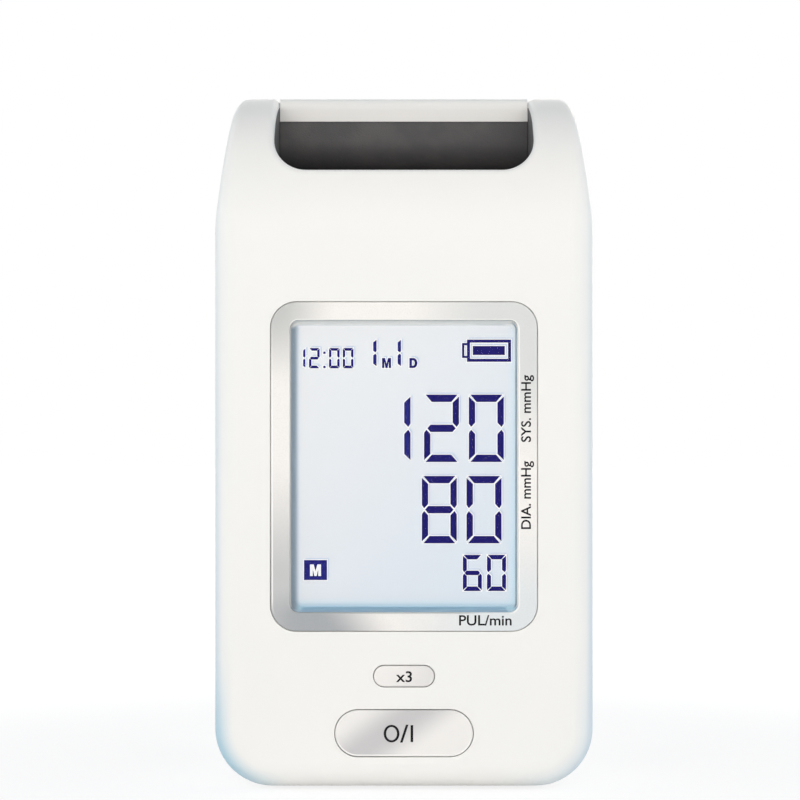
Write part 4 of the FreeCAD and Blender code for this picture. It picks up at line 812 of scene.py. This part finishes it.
def letters(name, words, box, faceY, body, upright=False):
    # words that fill box, which is x0, x1, z0, z1
    mesh = wordMesh(name, words, upright)
    low = [min(v.co[i] for v in mesh.vertices) for i in range(3)]
    high = [max(v.co[i] for v in mesh.vertices) for i in range(3)]
    x0, x1, z0, z1 = box
    for v in mesh.vertices:
        across, up, out = ((v.co[i] - low[i]) / (high[i] - low[i]) for i in range(3))
        v.co = Vector((x0 + (x1 - x0) * across, faceY - lettering["thick"] * out,
                       z0 + (z1 - z0) * up)) * mm
    mesh.update()
    return dress(name, mesh, blackInk, body)


for name, (words, box, upright) in labels.items():
    letters(name, words, box, bezelY, "housing", upright)
letters("modeMark", "x3", (-2.29, 2.29, 31.52, 34.67), buttonY, "mode_button")

powerMark = {"oval": {"x": -3.57, "z": 16.79, "wide": 2.27, "tall": 2.52, "sides": 0.72,
                      "ends": 0.62, "steps": 44}, "thick": 0.01,
             "slash": [(-1.15, 14.22), (-0.42, 14.22), (1.26, 19.36), (0.55, 19.36)],
             "bar": (1.88, 2.62, 14.38, 19.22)}


def ovalRing(x, z, wide, tall, sides, ends, steps):
    # short straight lengths round an upright oval
    def at(k, thinner):
        turn = 2 * pi * k / steps
        return (x + (wide - thinner * sides) * cos(turn), z + (tall - thinner * ends) * sin(turn))
    return [[at(k, 0), at(k + 1, 0), at(k + 1, 1), at(k, 1)] for k in range(steps)]


onOff = ovalRing(**powerMark["oval"]) + [powerMark["slash"], block(*powerMark["bar"])]
newPiece("powerMark", *prisms(onOff, buttonY - powerMark["thick"], buttonY), blackInk,
         "power_button", "button_pearl")
print("lettering done")


sleeve = {"around": 240, "along": 52, "panels": 8, "meanR": 55.9, "thick": 0.8,
          "pleats": 48, "pleatDepth": 0.3, "ending": 16,
          "crumple": 0.15, "crumplesRound": 6, "crumplesAlong": 5.7,
          "frames": 15, "deepest": 2.1, "proudest": 0.12, "flat": (0.3605, 0.1035)}
knit = {"quality": 5, "mass": 0.15, "tension_stiffness": 20, "compression_stiffness": 20,
        "shear_stiffness": 8, "bending_stiffness": 0.6, "shrink_min": -0.03,
        "use_pressure": True, "uniform_pressure_force": -2.0, "vertex_group_mass": "sewn"}


def onTunnel(x, r, turn):
    return (x, tunnel["y"] + r * cos(turn), tunnel["z"] + r * sin(turn))


def sleeveMesh():
    # a tube gathered a little at both mouths, and the points where its panels are sewn together
    points, sewn = [], []
    perPanel, wide = sleeve["around"] // sleeve["panels"], sleeve["crumplesRound"]
    for i in range(sleeve["along"] + 1):
        end = 2 * i / sleeve["along"] - 1
        for j in range(sleeve["around"]):
            turn = 2 * pi * j / sleeve["around"]
            pleat = sleeve["pleatDepth"] * sin(turn * sleeve["pleats"]) * end ** sleeve["ending"]
            place = Vector((cos(turn) * wide, sin(turn) * wide, end * sleeve["crumplesAlong"]))
            r = sleeve["meanR"] - abs(pleat) + sleeve["crumple"] * noise.noise(place)
            if j % perPanel == 0 or abs(end) == 1:
                sewn.append(len(points))
            points.append(onTunnel(tunnel["halfLength"] * end, r, turn))
    return points, band(sleeve["along"] + 1, sleeve["around"]), sewn


def buckled(piece, sewn):
    # the cloth is cut with a little ease, so it buckles inwards between its seams
    piece.vertex_groups.new(name="sewn").add(sewn, 1.0, "REPLACE")
    drape = piece.modifiers.new("cloth", "CLOTH")
    for name, setting in knit.items():
        setattr(drape.settings, name, setting)
    drape.settings.effector_weights.gravity = 0
    drape.collision_settings.use_collision = False
    for step in range(1, sleeve["frames"] + 1):
        scene.frame_set(step)
    still = bpy.data.meshes.new_from_object(piece.evaluated_get(bpy.context.evaluated_depsgraph_get()))
    piece.modifiers.remove(drape)
    piece.vertex_groups.clear()
    for point, settled in zip(piece.data.vertices, still.vertices):
        point.co = settled.co
    bpy.data.meshes.remove(still)
    scene.frame_set(1)


def keptRound(piece):
    # it rests on the bladder outside and never sags far into the bore
    for point in piece.data.vertices:
        y, z = point.co.y / mm - tunnel["y"], point.co.z / mm - tunnel["z"]
        inward = sleeve["meanR"] - hypot(y, z)
        most = sleeve["deepest"] if inward > 0 else sleeve["proudest"]
        scale = (sleeve["meanR"] - most * tanh(inward / most)) / hypot(y, z)
        point.co.y, point.co.z = (tunnel["y"] + y * scale) * mm, (tunnel["z"] + z * scale) * mm
    piece.data.update()


points, faces, sewn = sleeveMesh()
sleevePiece = newPiece("sleeve", points, faces, finishes["cuff_fabric"], None, "cuff_fabric")
buckled(sleevePiece, sewn)
keptRound(sleevePiece)
smooth(sleevePiece)
thicken = sleevePiece.modifiers.new("cloth thickness", "SOLIDIFY")
thicken.thickness = sleeve["thick"] * mm
thicken.offset = 0
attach(sleevePiece, "housing")

cording = {"x": 51.0, "r": 55.35, "thick": 1.0, "twist": 0.06, "twists": 90, "shade": 0.35,
              "around": 240, "ring": 12}


def welt(name, x, finish):
    # a corded edge, with the twist of its cover
    points = []
    around, ring = cording["around"], cording["ring"]
    for j in range(around):
        turn = 2 * pi * j / around
        for k in range(ring):
            a = 2 * pi * k / ring
            t = cording["thick"] * (1 + cording["twist"] * sin(turn * cording["twists"] + a))
            points.append(onTunnel(x + t * sin(a), cording["r"] + t * cos(a), turn))
    piece = newPiece(name, points, band(around, ring, closed=True), finish, "housing", "cuff_fabric")
    smooth(piece)
    return piece


weltFinish = clothFinish("weltCloth", cording["shade"])
welts = [welt("weltLeft", -cording["x"], weltFinish), welt("weltRight", cording["x"], weltFinish)]

# each ring of a stitch is a place along it and a share of its radius
stitch = {"pitch": 2.6, "long": 1.7, "r": 0.16, "sides": 6, "sunk": 0.4, "margin": 4,
          "rings": ((-1, 0.35), (-0.7, 1.0), (0.0, 1.15), (0.7, 1.0), (1, 0.35)),
          "colour": tone(168, 182, 198), "shade": tone(150, 164, 182)}


def stitches(name, finish):
    # short threads along each seam
    points, faces = [], []
    count = int(2 * (tunnel["halfLength"] - stitch["margin"]) / stitch["pitch"])
    seamR = sleeve["meanR"] - sleeve["thick"] / 2 - stitch["r"] * stitch["sunk"]
    for panel in range(sleeve["panels"]):
        turn = 2 * pi * panel / sleeve["panels"]
        out = Vector((0, cos(turn), sin(turn)))
        side = Vector((0, -sin(turn), cos(turn)))
        for i in range(count):
            centre = Vector(onTunnel((i - (count - 1) / 2) * stitch["pitch"], seamR, turn))
            start = len(points)
            for along, wide in stitch["rings"]:
                middle = centre + Vector((along * stitch["long"] / 2, 0, 0))
                for k in range(stitch["sides"]):
                    a = 2 * pi * k / stitch["sides"]
                    points.append(middle + (out * sin(a) + side * cos(a)) * stitch["r"] * wide)
            faces += band(len(stitch["rings"]), stitch["sides"], start=start)
            faces += caps(len(stitch["rings"]), stitch["sides"], start)
    return newPiece(name, points, faces, finish, "housing", "cuff_fabric"), count


threadFinish = inkFinish("threadGrey", stitch["colour"], stitch["shade"])
thread, perSeam = stitches("sleeveStitches", threadFinish)
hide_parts("cuff_sleeve")
print("sleeve: %d stitches" % (perSeam * sleeve["panels"]))


# radius and rise above the board: up the outside, then down the inside
dome = {"outside": [(4.2, 0.0), (4.2, 0.35), (3.65, 0.7), (2.75, 2.6), (2.4, 3.3)], "crownR": 2.15,
        "inside": [(2.05, 2.6), (3.1, 0.6), (3.3, 0.0)], "ceilingR": 1.7, "middleR": 0.02,
        "wall": 0.6, "around": 40, "keep": 2.8 / 3.6}


def domePiece(name, node):
    low, high = placed(node)
    centre, tall = (low + high) / 2, high.y - low.y
    ceiling = tall - dome["wall"]
    profile = [*dome["outside"], (dome["crownR"], tall), (dome["middleR"], tall),
               (dome["middleR"], ceiling), (dome["ceilingR"], ceiling), *dome["inside"]]
    turns = [2 * pi * j / dome["around"] for j in range(dome["around"])]
    points = [(centre.x + r * cos(turn), high.y - rise, centre.z + r * sin(turn))
              for turn in turns for r, rise in profile]
    faces = [[a, d, c, b] for a, b, c, d in band(dome["around"], len(profile), closed=True)]
    piece = newPiece(name, points, faces, finishes["silicone"], "housing", "silicone")
    smooth(piece)
    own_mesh(piece)
    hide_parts(node)


domePiece("powerDomePiece", "power_dome")
domePiece("modeDomePiece", "mode_dome")

spring = {"r": 2.6, "wire": 0.25, "turns": 4, "travel": 0.8, "stepsPerTurn": 28, "around": 8}


def springPiece(name):
    # its front end rests on the valve's frame, and its back end on the plunger
    low, high = placed("valve_spring")
    centre, tall = (low + high) / 2, high.y - low.y
    around, steps = spring["around"], spring["turns"] * spring["stepsPerTurn"]
    points = []
    rise = tall - 2 * spring["wire"]
    for i in range(steps + 1):
        turn = 2 * pi * spring["turns"] * i / steps
        lift = low.y + spring["wire"] + rise * i / steps
        for k in range(around):
            a = 2 * pi * k / around
            r = spring["r"] + spring["wire"] * cos(a)
            y = lift + spring["wire"] * sin(a)
            points.append((centre.x + r * cos(turn), y, centre.z + r * sin(turn)))
    faces = band(steps + 1, around) + [cap[::-1] for cap in caps(steps + 1, around)]
    piece = newPiece(name, points, faces, finishes["steel"], "housing", "steel")
    smooth(piece)
    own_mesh(piece)
    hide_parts("valve_spring")


springPiece("valveSpringPiece")
print("springs done")


# a white sweep in a pale blue room, in metres and watts
studio = {"sky": (0.565, 0.618, 0.672), "skyStrength": 1.2, "skyDrop": 0.68,
          "skyHeight": (0.1, 0.8), "floor": tone(250, 250, 250), "floorHalf": 4.0, "white": 1.1,
          "shadowShare": 0.26, "shadowReach": (0.12, 0.36)}
pureWhite, warm, cool, plain = (1.0, 1.0, 1.0), (1.0, 0.895, 0.79), (0.88, 0.96, 1.0), (1.0, 0.98, 0.95)
lamps = {  # place, size, power, colour
    "front": ((-0.13, -1.9, 0.34), (1.8, 1.3), 20.9, warm),
    "back": ((0.4, 1.9, 0.3), (1.4, 1.1), 11.5, warm),
    "left": ((-1.7, -0.1, 0.3), (1.2, 1.0), 5.2, cool),
    "right": ((1.7, -0.1, 0.3), (1.2, 1.0), 5.2, cool),
    "top": ((0.0, -0.1, 1.7), (1.4, 1.4), 0.6, plain)}
lampAim = Vector((0, 0, 0.1))


def seen(tree):
    # camera rays, and what gloss and glass show
    path = tree.add("ShaderNodeLightPath")
    return path.out("Is Camera Ray") | path.out("Is Glossy Ray") | path.out("Is Transmission Ray")


def floorFinish():
    # white where it is seen, with a faint shadow that fades outwards
    paint = Finish("floor")
    bare = paint.add("ShaderNodeBsdfDiffuse", None, {"Color": studio["floor"]})
    lit = paint.add("ShaderNodeEmission", None, {"Color": pureWhite, "Strength": studio["white"]})
    away = paint.add("ShaderNodeVectorMath", {"operation": "LENGTH"}, {0: paint.place}).out("Value")
    whiteness = 1 - away.fall(*studio["shadowReach"]) * studio["shadowShare"]
    shown = paint.add("ShaderNodeMixShader", None, {0: seen(paint) * whiteness, 1: bare, 2: lit})
    paint.add("ShaderNodeOutputMaterial", None, {"Surface": shown})
    return paint.material


half = studio["floorHalf"]
stageMesh = bpy.data.meshes.new("floor")
stageMesh.from_pydata([(-half, -half, 0), (half, -half, 0), (half, half, 0), (-half, half, 0)], [],
                      [(0, 1, 2, 3)])
stageMesh.materials.append(floorFinish())
floorPiece = bpy.data.objects.new("floor", stageMesh)
scene.collection.objects.link(floorPiece)


def skyLight():
    # the room is dimmer above, and plain white where it is seen
    world = bpy.data.worlds.new("studio")
    world.use_nodes = True
    scene.world = world
    sky = Tree(world.node_tree)
    aim = sky.add("ShaderNodeTexCoord").out("Generated")
    height = sky.add("ShaderNodeSeparateXYZ", None, {0: aim}).out("Z")
    strength = studio["skyStrength"] - height.rise(*studio["skyHeight"]) * studio["skyDrop"]
    fill = sky.add("ShaderNodeBackground", None, {"Color": studio["sky"], "Strength": strength})
    white = sky.add("ShaderNodeBackground", None, {"Color": pureWhite, "Strength": 1.0})
    shown = sky.add("ShaderNodeMixShader", None, {0: seen(sky), 1: fill, 2: white})
    sky.add("ShaderNodeOutputWorld", None, {"Surface": shown})


def softbox(name, place, size, power, colour):
    lamp = bpy.data.lights.new(name, "AREA")
    lamp.shape = "RECTANGLE"
    lamp.size, lamp.size_y = size
    lamp.energy = power
    lamp.color = colour
    holder = bpy.data.objects.new(name, lamp)
    scene.collection.objects.link(holder)
    holder.location = place
    holder.rotation_mode = "QUATERNION"
    holder.rotation_quaternion = (lampAim - Vector(place)).to_track_quat("-Z", "Y")


skyLight()
for name, lamp in lamps.items():
    softbox(name, *lamp)

view = {"lens": 135.0, "sensor": 36.0, "place": (-0.00115, -0.9406, 0.1123), "clip": (0.05, 20)}
lens = bpy.data.cameras.new("camera")
lens.lens = view["lens"]
lens.sensor_width = view["sensor"]
lens.clip_start, lens.clip_end = view["clip"]
camera = bpy.data.objects.new("camera", lens)
scene.collection.objects.link(camera)
camera.location = view["place"]
camera.rotation_euler = (radians(90), 0, 0)
scene.camera = camera
scene.view_settings.view_transform = "Standard"
print("studio ready")

bpy.context.view_layer.update()
